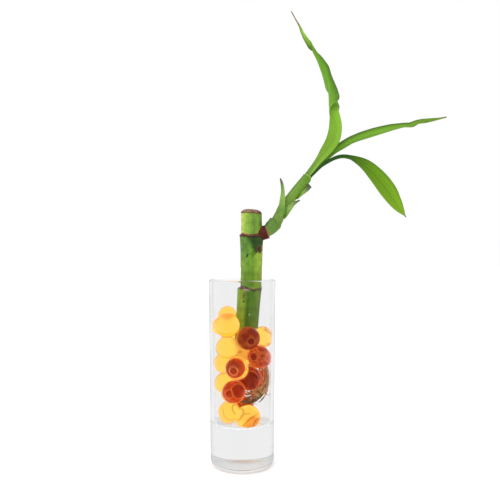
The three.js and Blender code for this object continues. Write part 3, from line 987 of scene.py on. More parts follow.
    def add_core(self, piece: Piece, ball: Piece, bead: Bead, centre: Points) -> None:
        """Join a smaller ball of the bead's own gel into it.

        Args:
            piece: The bead, which keeps its clear outer layer round the core.
            ball: The ball that is copied.
            bead: The bead.
            centre: The bead's middle in millimetres.
        """
        *offset, radius = bead.core
        core = copy_of(ball, "gel_core")
        directions = unit(points_of(ball))
        place_points(core, (centre + np.array(offset) + radius * directions) * MM)
        add_values(core, self.marks_of(bead, directions, radius))
        select_only(piece, core)
        bpy.ops.object.join()

    def marks_of(self, bead: Bead, directions: Points, radius: float) -> dict[str, Points]:
        """The rings and darker hearts of a bead's dimples, for the gel's painted lines and painted
        shade, with no crease yet.

        Args:
            bead: The bead.
            directions: Unit directions of the ball's points.
            radius: The ball's radius in millimetres.
        Returns:
            The marks, by the name that the gel reads.
        """
        plain = np.zeros(len(directions))
        ring = heart = plain
        for *direction, half_width, _ in bead.dimples:
            away = np.linalg.norm(directions - unit(np.array(direction)), axis=1) * radius
            ring = np.maximum(ring, hump(away - half_width, self.line_width))
            heart = np.maximum(heart, 1 / (1 + np.exp((away - half_width * 0.95) / 0.12)))
        return {"crease": plain, "ring": ring, "heart": heart, "outline": plain + bead.outline}

    def pressed(
        self, bead: Bead, homes: Mapping, directions: Points, cane: "Cane"
    ) -> tuple[Points, dict[str, Points]]:
        """A bead's points, swollen and then pressed flat against what it touches.

        Args:
            bead: The bead.
            homes: Centre and radius of every bead, by number.
            directions: Unit directions of the ball's points.
            cane: The cane.
        Returns:
            The points in millimetres, and the marks that its gel reads.
        """
        centre, radius = homes[bead.number]
        marks = self.marks_of(bead, directions, radius)
        if bead.core:
            marks = {name: marks[name] * (name in ("outline", "ring")) for name in marks}
        crease = marks["crease"]
        dents = noise_at(directions, 0.8, bead.number * 3.1) * bead.dents
        fine = noise_at(directions, 0.3, bead.number * 1.7) * bead.dents * 0.12
        points = centre + directions * (radius + dents + fine)[:, None]
        pull = np.array(bead.pull)
        toward = np.clip(directions @ unit(pull), 0, 1) ** 4
        points = points + toward[:, None] * pull

        def flattened(normal: Points, reach: float, give: float) -> tuple[Points, Points]:
            """The points pressed against a plane, and the creases with that plane's own."""
            over = (points - centre) @ normal - reach
            creases = np.maximum(crease, hump(over, self.crease_width))
            return points - give * np.maximum(over, 0)[:, None] * normal, creases

        for *direction, share in bead.faces:
            points, crease = flattened(unit(np.array(direction)), radius * share, self.face_give)
        for *direction, half_width, depth in bead.dimples:
            away = np.linalg.norm(directions - unit(np.array(direction)), axis=1)
            pit = np.sqrt(np.maximum(1 - (away * radius / half_width) ** 2, 0))
            points = points - depth * pit[:, None] * directions
        for fold in bead.folds:
            across, up = Curve(fold).at(np.linspace(0, 1, 40)).T
            line = np.column_stack([across, -np.sqrt(1 - across**2 - up**2), up])
            away = np.min([np.linalg.norm(directions - spot, axis=1) for spot in line], axis=0)
            groove = hump(away * radius, bead.fold_width)
            crease = np.maximum(crease, groove)
            points = points - self.fold_depth * groove[:, None] * directions
        for number, (other, other_radius) in homes.items():
            away = other - centre
            distance = float(np.linalg.norm(away))
            if number != bead.number and distance <= radius + other_radius + 1:
                reach = distance * (radius / (radius + other_radius)) - self.skin
                points, crease = flattened(away / distance, reach, 1.0)
        points = cane.pushed_off(points, self.skin)
        marks["crease"] = crease
        return self.glass.kept_inside(points, self.skin, self.glass.floor_corner), marks

    def dress(self, pieces: Mapping[str, Piece], effects: Effects) -> None:
        """Give each bead its gel.

        Args:
            pieces: The beads, by the name of the node that each one replaces.
            effects: The shared effects.
        """
        # The glows are painted light, and the edge, crease and heart colours are painted light and
        # shade.
        red = GelFinish(
            "red_gel", GEL_IOR, tint=(0.9, 0.28, 0.06, 1), depth_tint=(0.62, 0.36, 0.06, 1),
            depth_density=330.0, mirror_tint=(0.4, 0.22, 0.14, 1), painted_edge_shading=(0.95, 0.36, 0.1, 1),
            lost_light=(0.3, 0.04, 0.01, 1), roughness=0.02, glow=(0.21, 0.015, 0.001, 1),
            cloud_glow=(0.4, 0.082, 0.006, 1), line_glow=(0.64, 0.17, 0.045, 1),
            crease_shade_and_fleck_tint=(0.9, 0.28, 0.06, 1), heart_shade=(0.5, 0.08, 0.02, 1),
            heart_glow=(0.1, 0.004, 0.001, 1),
        )
        yellow = GelFinish(
            "yellow_gel", GEL_IOR, tint=(0.74, 0.53, 0.2, 1), depth_tint=(0.9, 0.82, 0.06, 1),
            depth_density=95.0, mirror_tint=(0.4, 0.4, 0.4, 1), painted_edge_shading=(0.46, 0.15, 0.015, 1),
            lost_light=(0.3, 0.16, 0.02, 1), roughness=0.02, glow=(0.34, 0.2, 0.03, 1),
            cloud_glow=(0.38, 0.19, 0.024, 1), line_glow=(0.16, 0.04, 0.002, 1),
            crease_shade_and_fleck_tint=(0.42, 0.12, 0.012, 1), heart_shade=(0.4, 0.12, 0.02, 1),
            heart_glow=(0.2, 0.03, 0.003, 1), crease_strength=0.9,
        )
        coat = GelFinish(
            "yellow_gel_coat", GEL_IOR, tint=(1, 0.96, 0.76, 1), depth_tint=(0.99, 0.84, 0.1, 1),
            depth_density=130.0, mirror_tint=(0.4, 0.4, 0.4, 1), painted_edge_shading=(0.95, 0.68, 0.28, 1),
            lost_light=(0.3, 0.16, 0.02, 1), roughness=0.02, glow=(0.02, 0.008, 0.001, 1),
            cloud_glow=(0.03, 0.012, 0.001, 1), line_glow=(0.42, 0.25, 0.09, 1),
            crease_shade_and_fleck_tint=(0.8, 0.4, 0.08, 1),
        ).build(effects)
        # Painted shade: the core and the deep beads take copies of the red gel with a dimmer
        # painted glow.
        core, deep = (
            replace(red, name=name, glow=glow, cloud_glow=cloud).build(effects)
            for name, glow, cloud in (
                ("red_gel_core", (0.07, 0.006, 0.001, 1), (0.17, 0.03, 0.003, 1)),
                ("red_gel_shaded", (0.17, 0.012, 0.001, 1), (0.31, 0.05, 0.004, 1)),
            )
        )
        gels = {Gel.YELLOW: yellow.build(effects), Gel.RED: red.build(effects)}
        for bead in self.beads:
            piece = pieces[bead.node]
            gel = coat if bead.core else deep if bead.deep else gels[bead.gel]
            finished(piece, gel, bead.gel.value, bead.node)
            if bead.core:
                piece.data.materials.append(core)
                half = len(piece.data.polygons) // 2
                piece.data.polygons.foreach_set("material_index", [0] * half + [1] * half)


# Cane


@dataclass
class Cane:
    """The cut stem with three joints, a slight lean in the glass and a healed top."""

    line: Rows = (
        (1.98, 7.0, 66.0), (4.18, 5.2, 98.4), (5.05, 4.85, 99.6), (5.35, 3.95, 128.6),
        (5.2, 3.85, 129.8), (5.2, 3.2, 142.1),
    )
    dome_height: float = 2.2
    slant: float = 0.065
    slant_height: float = 4.0
    radii: Spot = (6.45, 5.95, 5.8)
    swellings: Spot = (0.35, 0.52, 0.8)
    swelling_height: float = 10.0
    step: float = 0.25
    oval: float = 0.015
    oval_turn: float = 0.6
    joints: Spot = (68.6, 99.0, 129.2)
    scars: tuple[Rows, ...] = (
        ((0, 68.6), (1, 68.6)),
        (
            (0, 99), (0.2, 99.1), (0.25, 99.1), (0.285, 99.9), (0.33, 99.5), (0.41, 98.8),
            (0.522, 98.2), (0.71, 98.2), (0.85, 98.7), (1, 99),
        ),
        (
            (0, 128.9), (0.27, 129.2), (0.41, 129.0), (0.57, 128.9), (0.72, 129.3), (0.85, 129.2),
            (1, 128.9),
        ),
    )
    collar: float = 1.1
    collar_height: float = 4.0
    ridge: float = 0.2
    ridge_height: float = 0.6
    faces: tuple[int, int] = (112, 330)

    @property
    def foot(self) -> Spot:
        """The middle of the stem's lower end."""
        return self.line[0]

    @property
    def top(self) -> Spot:
        """The middle of the stem's cut end, under the healed dome."""
        return self.line[-1]

    def axis(self, z: Points) -> Points:
        """Points of the stem's axis at some heights, in rows of x and y."""
        x, y, heights = np.array(self.line).T
        return np.stack([np.interp(z, heights, x), np.interp(z, heights, y)], axis=-1)

    def scar_height(self, joint: int, around: Points) -> Points:
        """Height of a joint's scar at some shares round the stem."""
        shares, heights = np.array(self.scars[joint]).T
        return np.interp(around, shares, heights)

    def radius(self, z: Points) -> Points:
        """The stem's radius, without its ridges.

        Args:
            z: Heights in millimetres.
        Returns:
            The radius at each height.
        """
        _, middle, upper = self.joints
        low, mid, high = self.radii
        plain = low + (mid - low) / (1 + np.exp(-(z - middle) / self.step))
        plain = plain + (high - mid) / (1 + np.exp(-(z - upper) / self.step))
        under = np.zeros_like(z)
        for joint, swelling in zip(self.joints, self.swellings):
            below = np.exp(-np.maximum(joint - z, 0) / self.swelling_height)
            under = np.maximum(under, swelling * below * np.exp(-3 * np.maximum(z - joint, 0)))
        return plain + under

    def pushed_off(self, points: Points, gap: float) -> Points:
        """Points moved out of the stem.

        Args:
            points: Points in millimetres, one row each.
            gap: How far off the stem they stay.
        Returns:
            The points.
        """
        z = np.maximum(points[:, 2], self.foot[2])
        middle = self.axis(z)
        out = points[:, :2] - middle
        wanted = self.radius(z) * (1 + self.oval) + gap
        beside = (points[:, 2] > self.foot[2] - 0.3) & (np.linalg.norm(out, axis=1) < wanted)
        moved = points.copy()
        moved[beside, :2] = middle[beside] + unit(out[beside]) * wanted[beside, None]
        return moved

    def rows(self) -> tuple[Points, Points]:
        """The stem's rings, from the foot's middle to the top's.

        Returns:
            The height of each ring, and its share of the stem's radius.
        """
        low, high = self.foot[2], self.top[2]
        foot = [(low, s) for s in (0, 0.4, 0.75, 0.93, 0.985)]
        side = [(z, 1.0) for z in np.linspace(low + 0.12, high - 0.15, self.faces[1] - 32)]
        turns = np.radians(np.linspace(0, 90, 28))
        rise = self.dome_height
        dome = [(high + rise * math.sin(t) - 0.05, math.cos(t) ** 0.8) for t in turns]
        dome[-1] = (dome[-1][0], 0.0)
        heights, shares = np.array([*foot, *side, *dome]).T
        return heights, shares

    def surface(self, around: Points, along: Points) -> Points:
        """The stem's points, with its ridges, its collar, its slanting cut and its healed top.

        Args:
            around: Shares round the stem, from the back.
            along: Shares along it.
        Returns:
            One row for each pair of shares.
        """
        heights, shares = self.rows()
        place = along * (len(heights) - 1)
        z = np.interp(place, np.arange(len(heights)), heights)
        share = np.interp(place, np.arange(len(heights)), shares)
        angle = 2 * np.pi * around + np.pi / 2
        angle = np.where(around > 1 - SEAM, np.pi / 2, angle)
        circle = np.stack([np.cos(angle), np.sin(angle), np.zeros_like(angle)], axis=-1)
        spots = circle * 6 + np.stack([0 * z, 0 * z, z], axis=-1)
        wander = noise_at(spots, 4.0, 2.0) * 0.5 + noise_at(spots, 1.4, 9.0) * 0.25
        worn = 0.75 + 0.5 * noise_at(spots, 2.2, 5.0)
        radius = self.radius(z)
        for joint in range(len(self.joints)):
            over = z - self.scar_height(joint, around) - 0.5 * wander
            radius = radius + self.ridge * worn * hump(over, self.ridge_height)
        radius = radius * (1 + self.oval * np.cos(2 * angle + self.oval_turn))
        radius = radius + 0.05 * noise_at(spots, 9.0, 4.0)
        upper, top = self.joints[2], self.top[2]
        beside = np.clip(np.cos(angle), 0, 1) ** 6 * (z > upper)
        radius = radius + self.collar * beside * np.exp(-(z - upper) / self.collar_height)
        crust = hump(z - top - 0.2, 0.55) * (0.12 + 0.22 * noise_at(spots, 1.8, 6.0))
        reach = (radius + crust) * share
        lumps = noise_at(spots + circle * share[:, None] * 4, 2.4, 8.0) * 0.18 * (z > top)
        x, y = (self.axis(z) + reach[:, None] * circle[:, :2]).T
        cut = np.clip((z - top + self.slant_height) / self.slant_height, 0, 1)
        lower = self.slant * cut * (x - self.top[0] + self.radii[2])
        return np.stack([x, y, z + lumps * (share > 0) - lower], axis=-1)

    def values(self, around: Points, along: Points) -> dict[str, Points]:
        """What the stem's finish reads.

        Args:
            around: Shares round the stem, from the back.
            along: Shares along it.
        Returns:
            Where each point is round the stem, and how far above its upper scars and its top.
        """
        heights, _ = self.rows()
        z = np.interp(along * (len(heights) - 1), np.arange(len(heights)), heights)
        return {
            "around": around,
            "over_middle": z - self.scar_height(1, around),
            "over_upper": z - self.scar_height(2, around),
            "over_top": z - self.top[2],
        }

    def build(self) -> Piece:
        """The stem as one closed skin with its joints, its worn ridges and its healed top."""
        rows = len(self.rows()[0]) - 1
        return laid_grid("cane_stem", (self.faces[0], rows), self.surface, self.values)

    def dress(self, piece: Piece, effects: Effects) -> None:
        """Give the stem its finish."""
        finished(piece, CaneFinish().build(effects), "cane", "cane")


@dataclass(frozen=True)
class CaneFinish:
    """Waxy green skin, striped along its length, with brown scars at the joints and a healed top.

    The greens run round the stem from the back, one row for each length of it. A flat place is
    the way round in millimetres and the height. Each spot is its middle, its half sizes, its
    raggedness and softness, its strength and its colour.
    """

    way_round: float = 39.0
    upper: Stops = shades(
        (0.0, 87, 125, 44), (0.25, 165, 175, 87), (0.33, 172, 186, 82), (0.4, 139, 170, 71),
        (0.46, 112, 150, 46), (0.54, 103, 134, 51), (0.6, 111, 147, 53), (0.68, 88, 130, 40),
        (0.76, 77, 107, 44),
    )
    middle: Stops = shades(
        (0.0, 95, 128, 46), (0.25, 87, 116, 52), (0.31, 126, 157, 55), (0.38, 110, 147, 52),
        (0.46, 103, 143, 39), (0.53, 108, 147, 39), (0.58, 138, 168, 52), (0.68, 140, 172, 53),
        (0.75, 95, 124, 35), (0.85, 89, 126, 41),
    )
    lower: Stops = shades(
        (0.0, 102, 133, 42), (0.25, 97, 133, 57), (0.3, 129, 166, 49), (0.36, 140, 172, 48),
        (0.43, 142, 178, 52), (0.48, 78, 120, 24), (0.55, 97, 142, 44), (0.64, 136, 168, 64),
        (0.75, 93, 129, 53), (0.88, 97, 135, 42),
    )
    spots: Rows = (
        (24.7, 120.9, 2.2, 2.3, 0.8, 0.25, 0.4, 150, 108, 76),
        (24.8, 120.9, 1.95, 2.0, 1.1, 0.25, 0.95, 66, 30, 22),
        (18.4, 109.0, 0.9, 1.8, 1.2, 0.6, 0.5, 84, 124, 40),
        (16.4, 103.4, 1.1, 2.4, 1.4, 0.6, 0.45, 86, 120, 50),
        (16.7, 94.9, 0.8, 2.2, 1.0, 0.35, 0.75, 112, 84, 42),
        (16.7, 91.5, 0.5, 0.6, 0.5, 0.25, 0.97, 26, 22, 10),
        # Painted highlight: a small white glint on the lower stem.
        (20.3, 84.1, 0.35, 0.55, 1.4, 0.3, 0.9, 206, 230, 190),
        (13.2, 129.4, 3.4, 0.95, 0.8, 0.3, 0.92, 150, 78, 50),
        (15.2, 129.7, 1.2, 0.5, 0.6, 0.35, 0.85, 206, 130, 98),
        (24.2, 129.0, 3.4, 1.0, 0.7, 0.35, 0.92, 92, 36, 26),
        (28.2, 122.6, 1.4, 2.3, 0.9, 0.4, 0.75, 96, 54, 32),
        (20.3, 136.6, 0.9, 1.5, 1.6, 0.6, 0.6, 90, 128, 42),
        (20.0, 118.4, 1.1, 1.7, 1.2, 0.5, 0.7, 66, 104, 16),
        (22.6, 134.0, 1.4, 2.2, 1.6, 0.6, 0.5, 106, 140, 44),
    )
    slit: Pair = (16.9, 117.3)
    slit_lean: float = 0.45

    def build(self, effects: Effects) -> Material:
        """The stem's material.

        Args:
            effects: The shared effects.
        Returns:
            The material.
        """
        material, tree, surface = new_finish("cane_skin")
        place = tree.millimetres()
        z = tree.split(place)[2]
        around = tree.value("around")
        streaks = effects.streaks(tree, around, z, 60.0, 0.05)
        flat = tree.vector(tree.times(around, self.way_round), z)
        torn = tree.stray(0.0, tree.noise(place, 0.7, 5), 2.2)
        over_middle = tree.math("ADD", torn, tree.value("over_middle"))
        over_upper = tree.math("ADD", torn, tree.value("over_upper"))

        wander = tree.stray(around, streaks, 0.06)
        upper, middle, lower = (
            tree.ramp(wander, stops) for stops in (self.upper, self.middle, self.lower)
        )
        skin = tree.mix(tree.range(over_middle, -0.2, 0.4), lower, middle)
        skin = tree.mix(tree.range(over_upper, -0.2, 0.4), skin, upper)
        skin = self.darkened_strip_and_triangle(tree, skin, around, flat, torn)

        for *spot, strength, red, green, blue in self.spots:
            mask = effects.spot_on(tree, flat, *spot)
            skin = tree.tint(skin, linear(red, green, blue), mask, strength)
        arc, height, _ = tree.split(flat)
        level = tree.math("ADD", arc, self.slit_lean * self.slit[1])
        leaning = tree.vector(tree.times(height, -self.slit_lean, level), height)
        cut = effects.spot_on(tree, leaning, *self.slit, 0.5, 1.15, 0.3, 0.25)
        skin = tree.tint(skin, linear(14, 32, 8), cut, 0.95)
        skin = tree.shade(skin, tree.range(tree.noise(flat, 0.35, 4), 0.35, 0.65, (0.82, 1.12)))
        skin = tree.shade(skin, tree.range(streaks, 0.3, 0.7, (0.86, 1.12)))
        skin = tree.tint(skin, linear(84, 96, 40), effects.flecks(tree, place, 1.6, 0.3), 0.4)

        skin = self.scarred(tree, skin, (around, place), (over_middle, over_upper))
        pale = effects.spot_on(tree, flat, 17.7, 98.1, 1.7, 0.6, 0.8, 0.3)
        skin = tree.tint(skin, linear(176, 166, 140), pale, 0.85)

        over_top = tree.times(torn, 0.6, tree.value("over_top"))
        stops = shades((0.3, 84, 56, 42), (0.46, 122, 94, 72), (0.6, 142, 124, 104))
        crust = tree.ramp(tree.noise(place, 0.8, 5), stops)
        crust = tree.mix(tree.range(around, 0.56, 0.68), crust, linear(72, 46, 34))
        skin = tree.mix(tree.range(over_top, -0.75, -0.2), skin, linear(104, 60, 40))
        skin = tree.mix(tree.range(over_top, 0.0, 0.5), skin, crust)

        relief = tree.times(tree.noise(place, 2.0, 4), 0.3, streaks)
        rough = tree.range(streaks, 0.3, 0.7, (0.34, 0.5))
        tree.cover(surface, skin, rough, 0.18, (relief, 0.08, 0.6))
        return material

    def darkened_strip_and_triangle(
        self, tree: Tree, skin: Socket, around: Socket, flat: Socket, torn: Socket
    ) -> Socket:
        """The greens with the shaded strip and a dark green triangle under the upper joint.

        Args:
            tree: The material's tree.
            skin: The greens.
            around: The share round the stem.
            flat: The flat place.
            torn: A wandering value that frays an edge.
        Returns:
            The colour.
        """
        arc, height, _ = tree.split(flat)
        over = tree.value("over_upper")
        shaded = tree.times(tree.range(around, 0.5, 0.44), tree.range(height, 112.0, 122.0))
        shaded = tree.times(shaded, tree.range(over, 0.0, -0.4))
        skin = tree.tint(skin, linear(74, 112, 44), shaded, 0.75)
        # A dark green triangle under the upper joint, its edges frayed.
        edge = tree.times(torn, 0.5, arc)
        left = tree.range(tree.times(height, 0.46, edge), 74.1, 77.5)
        right = tree.range(tree.math("SUBTRACT", tree.times(height, 0.955), edge), 90.4, 91.4)
        dark_triangle = tree.times(tree.times(left, right), tree.range(over, -0.2, -0.6))
        dark_triangle = tree.times(dark_triangle, tree.range(arc, 30.0, 28.0))
        return tree.tint(skin, linear(22, 54, 20), dark_triangle, 0.93)

    def scarred(
        self, tree: Tree, skin: Socket, places: tuple[Socket, Socket], over: tuple[Socket, Socket]
    ) -> Socket:
        """The skin with the brown scars of its two upper joints.

        Args:
            tree: The material's tree.
            skin: The skin's colour.
            places: The share round the stem, and the place in millimetres.
            over: How far a point is above the middle scar and above the upper one.
        Returns:
            The colour.
        """
        (around, place), (over_middle, over_upper) = places, over
        chips = tree.noise(place, 0.9, 5)
        dark, olive, upper = (
            tree.ramp(chips, stops)
            for stops in (
                shades((0.38, 44, 22, 14), (0.52, 84, 52, 32), (0.62, 150, 134, 104)),
                shades((0.35, 58, 46, 24), (0.5, 104, 92, 48), (0.65, 150, 150, 100)),
                shades((0.36, 36, 16, 16), (0.5, 84, 40, 28), (0.68, 136, 78, 52)),
            )
        )
        below = tree.math("ABSOLUTE", tree.math("ADD", over_upper, 0.75))
        skin = tree.mix(tree.range(below, 0.25, 0.6, (0.85, 0.0)), skin, linear(44, 26, 30))
        middle = tree.mix(tree.range(around, 0.46, 0.56), dark, olive)
        for height, colour, span, widths, half in (
            (over_middle, middle, (0.42, 0.56), (1.2, 0.8), 1.0),
            (over_upper, upper, (0.36, 0.46), (1.35, 0.8), 0.62),
        ):
            wide = tree.range(around, *span, widths)
            gap = tree.math("DIVIDE", tree.math("ABSOLUTE", height), wide)
            skin = tree.mix(tree.range(gap, half * 0.7, half * 1.15, (1.0, 0.0)), skin, colour)
        return skin


# Blades


@dataclass(frozen=True)
class Blade:
    """A thin blade along a midrib.

    Each row is x, y and z of the midrib, half width, roll about the midrib in degrees, and fold.
    """

    name: str
    rows: Rows
    thickness: float = 0.34
    wave: float = 0.25
    waves: float = 3.2
    lag: float = 2.4
    narrowest: float = 0.3
    crease: float = 0.3
    faces: tuple[int, int] = (48, 260)

    def surface(self, around: Points, along: Points) -> Points:
        """The blade's points.

        Args:
            around: Shares round its section.
            along: Shares along it.
        Returns:
            One row for each pair of shares.
        """
        spine = Curve([row[:3] for row in self.rows])
        shape = Curve([row[3:] for row in self.rows])
        centre, forward = spine.at(along), spine.direction(along)
        half_width, roll, fold = shape.at(along).T
        level = unit(np.cross(FORWARD, forward))
        turn = np.radians(roll)[:, None]
        side = level * np.cos(turn) + np.cross(forward, level) * np.sin(turn)
        face = np.cross(side, forward)
        place = -np.cos(2 * np.pi * around)
        part = np.sin(2 * np.pi * around)
        ends = rounded_ends(along, 0.01)
        soft = self.crease
        bowl = (np.sqrt(place**2 + soft**2) - soft) / (math.sqrt(1 + soft**2) - soft)
        ripple = self.wave * np.sin(2 * np.pi * self.waves * along + self.lag * place)
        lift = (fold * half_width + ripple * np.sin(np.pi * along)) * bowl
        reach = np.maximum(half_width, self.narrowest) * ends
        half = 0.5 * self.thickness * np.sign(part) * np.abs(part) ** 0.7 * ends
        return centre + side * (place * reach)[:, None] + face * (lift + half)[:, None]

    def values(self, around: Points, along: Points) -> dict[str, Points]:
        """Where each point is across the blade, from -1 to 1, and along it."""
        return {"across": -np.cos(2 * np.pi * around), "along": along, "tip": np.ones_like(along)}

    def build(self) -> Piece:
        """The blade as one closed skin."""
        return laid_grid(self.name, self.faces, self.surface, self.values)


@dataclass(frozen=True)
class LeafFinish:
    """A waxy leaf: colours along it, paler and darker bands across it, fine veins and a dry tip.

    The bands' levels go from one edge to the other, and those of the tip take over along it.
    """

    name: str
    colours: Stops
    bands: Rows
    tip_bands: Rows
    tip_from: float
    dry_from: float

    def build(self, effects: Effects) -> Material:
        """The leaf's material.

        Args:
            effects: The shared effects.
        Returns:
            The material.
        """
        material, tree, surface = new_finish(self.name)
        across, along = tree.value("across"), tree.value("along")
        streaks = effects.streaks(tree, across, along, 9.0, 0.9)
        skin = tree.ramp(tree.stray(along, streaks, 0.05), self.colours)
        share = tree.stray(tree.times(across, 0.5, 0.5), streaks, 0.12)
        low, high = (
            tree.ramp(share, [(place, (level, level, level, 1.0)) for place, level in bands])
            for bands in (self.bands, self.tip_bands)
        )
        to_tip = tree.range(along, self.tip_from - 0.04, self.tip_from + 0.04)
        skin = tree.mix(1.0, skin, tree.mix(to_tip, low, high), "MULTIPLY")
        veins = tree.range(tree.math("COSINE", tree.times(across, 30.0)), -1.0, 1.0, (0.94, 1.04))
        skin = tree.shade(skin, tree.times(veins, tree.range(streaks, 0.3, 0.7, (0.88, 1.1))))
        place = tree.millimetres()
        dryness = tree.times(tree.noise(place, 0.6, 4), 0.05, along)
        dry = tree.range(dryness, self.dry_from, self.dry_from + 0.06)
        brown = tree.ramp(tree.noise(place, 0.8, 4), shades((0.3, 88, 74, 40), (0.7, 140, 124, 72)))
        pleats = tree.math("SINE", tree.times(across, 34.0))
        relief = tree.times(pleats, 0.35, tree.times(streaks, 1.2))
        rough = tree.times(dry, 0.3, tree.range(streaks, 0.3, 0.7, (0.34, 0.48)))
        tree.cover(surface, tree.mix(dry, skin, brown), rough, 0.08, (relief, 0.05, 0.5))
        return material


@dataclass
class Foliage:
    """The three leaves: one upright and twisted twice, one reaching outward, one arching down."""

    upright: Blade = Blade(
        "upright_leaf",
        (
            (34.9, 3, 160.8, 1.3, 6, 0.8), (37.3, 3, 163.8, 1.6, 8, 0.7),
            (40.9, 3, 168.4, 1.8, 10, 0.55), (43.7, 3, 172.1, 2.2, 13, 0.4),
            (46.5, 2.6, 176.1, 3.1, 17, 0.3), (49.3, 2.3, 180.2, 3.8, 20, 0.25),
            (51.3, 2.2, 184.2, 4.3, 22, 0.25), (52.3, 2.2, 190.6, 4.3, 27, 0.3),
            (51.55, 2.6, 195.1, 4.45, 38, 0.45), (50.05, 2.6, 199.3, 4.65, 46, 0.65),
            (49.5, 3.1, 203.2, 3.6, 70, 1.5), (49.5, 3.6, 206.8, 3.0, 90, 1.8),
            (49.4, 4.2, 209.8, 3.2, 104, 1.4), (49.1, 5.2, 214.2, 3.8, 130, 0.65),
            (48.3, 6.2, 220.2, 2.9, 145, 0.5), (47.2, 7.2, 225.6, 2.7, 156, 0.4),
            (45.2, 8.2, 230.5, 2.0, 175, 0.35), (43.2, 9, 235.0, 2.15, 215, 0.45),
            (41.6, 9.6, 238.2, 3.3, 264, 0.35), (38.3, 10.4, 241.8, 1.6, 322, 0.3),
            (35.4, 11.2, 246.6, 1.0, 345, 0.2), (33.3, 11.8, 251.6, 0.5, 350, 0.1),
            (30.5, 12.2, 256.7, 0.3, 350, 0), (28.4, 12.4, 260.8, 0.3, 350, 0),
        ),
        faces=(56, 420),
    )
    outer: Blade = Blade(
        "outer_leaf",
        (
            (39.7, 3.8, 164.8, 0.8, -14, 0.7), (43.2, 4.2, 168.5, 1.1, -20, 0.7),
            (48.1, 4.8, 172.6, 1.7, -30, 0.6), (52.6, 5.2, 176.5, 2.4, -38, 0.5),
            (57.4, 5.6, 179.5, 3.3, -44, 0.42), (62.6, 6.2, 182.6, 3.7, -46, 0.4),
            (68.2, 7, 185.0, 4.0, -46, 0.38), (75.0, 8.2, 187.5, 3.8, -45, 0.36),
            (81.9, 9.6, 189.7, 3.3, -43, 0.35), (88.5, 11, 191.6, 2.95, -42, 0.35),
            (94.0, 12, 192.7, 2.8, -48, 0.4), (98.7, 12.8, 193.0, 3.35, -52, 0.4),
            (102.3, 13.4, 195.1, 2.0, -44, 0.35), (107.8, 14.2, 196.2, 1.9, -40, 0.3),
            (113.2, 14.8, 197.4, 1.3, -38, 0.2), (117.5, 15.2, 198.4, 0.7, -36, 0.1),
            (120.9, 15.6, 199.3, 0.4, -35, 0),
        ),
    )
    arching: Blade = Blade(
        "arching_leaf",
        (
            (38.7, 3, 161.7, 0.8, -30, 0.7), (42.1, 2.2, 165.0, 1.0, -40, 0.7),
            (45.2, 1.4, 167.8, 1.3, -50, 0.6), (48.6, 0.8, 169.9, 1.8, -58, 0.5),
            (52.4, 0.2, 171.7, 2.3, -64, 0.45), (56.6, -0.4, 172.6, 3.0, -64, 0.4),
            (61.15, -1.2, 171.7, 3.65, -58, 0.36), (65.0, -2.4, 169.9, 4.05, -46, 0.32),
            (68.9, -3.8, 167.1, 4.55, -34, 0.28), (73.5, -6, 162.0, 5.2, -24, 0.25),
            (77.25, -8.4, 156.85, 5.4, -18, 0.24), (80.45, -10.6, 151.65, 5.0, -14, 0.22),
            (83.0, -12.2, 147.0, 3.9, -12, 0.2), (85.0, -13.2, 143.7, 2.8, -10, 0.2),
            (86.8, -13.8, 141.2, 1.6, -10, 0.15), (88.1, -14.2, 139.4, 0.5, -10, 0.1),
            (88.9, -14.4, 138.3, 0.3, -10, 0),
        ),
    )

    def build(self) -> dict[str, Piece]:
        """The leaves, by the name of the node that each one replaces."""
        blades = {"upright": self.upright, "outer": self.outer, "arching": self.arching}
        return {f"leaf_{way}": leaf.build() for way, leaf in blades.items()}

    def dress(self, pieces: Mapping[str, Piece], effects: Effects) -> None:
        """Give each leaf its finish.

        Args:
            pieces: The leaves, by the name of the node that each one replaces.
            effects: The shared effects.
        """
        finishes = {
            "leaf_upright": LeafFinish(
                "upright_leaf_skin",
                shades(
                    (0.0, 116, 158, 66), (0.14, 130, 170, 60), (0.24, 122, 168, 50),
                    (0.38, 132, 182, 52), (0.43, 112, 158, 44), (0.5, 108, 158, 44),
                    (0.68, 97, 147, 38), (0.78, 104, 147, 42), (0.88, 136, 180, 70),
                ),
                (
                    (0.0, 0.6), (0.06, 0.85), (0.3, 0.92), (0.5, 0.84), (0.72, 0.96), (0.92, 1.0),
                    (1.0, 0.72),
                ),
                ((0.0, 0.4), (0.14, 0.55), (0.4, 0.85), (0.62, 0.84), (0.8, 1.0), (1.0, 1.0)),
                tip_from=0.44, dry_from=0.9,
            ),
            "leaf_outer": LeafFinish(
                "outer_leaf_skin",
                shades(
                    (0.0, 92, 128, 44), (0.25, 98, 142, 40), (0.5, 116, 164, 48),
                    (0.75, 106, 146, 43), (0.9, 112, 146, 45),
                ),
                (
                    (0.0, 0.35), (0.12, 0.5), (0.3, 0.9), (0.5, 0.95), (0.7, 0.75), (0.88, 0.9),
                    (1.0, 1.0),
                ),
                ((0.0, 0.6), (0.2, 0.9), (0.5, 0.7), (0.8, 0.8), (1.0, 0.95)),
                tip_from=0.78, dry_from=0.95,
            ),
            "leaf_arching": LeafFinish(
                "arching_leaf_skin",
                # Painted shade and light: darkest green at the arch near the stem, and bright where
                # the leaf hangs down with light shining through it.
                shades(
                    (0.0, 60, 92, 40), (0.18, 36, 76, 24), (0.34, 44, 92, 18), (0.44, 82, 124, 18),
                    (0.55, 98, 142, 20), (0.8, 118, 160, 32), (0.92, 122, 158, 42),
                ),
                (
                    (0.0, 0.62), (0.2, 0.72), (0.44, 0.72), (0.5, 0.64), (0.58, 0.78), (0.85, 0.78),
                    (1.0, 0.94),
                ),
                (
                    (0.0, 0.7), (0.2, 0.88), (0.42, 0.84), (0.5, 0.72), (0.6, 0.86), (0.85, 0.8),
                    (1.0, 0.9),
                ),
                tip_from=0.5, dry_from=0.965,
            ),
        }
        for node, piece in pieces.items():
            finished(piece, finishes[node].build(effects), "leaf", node)


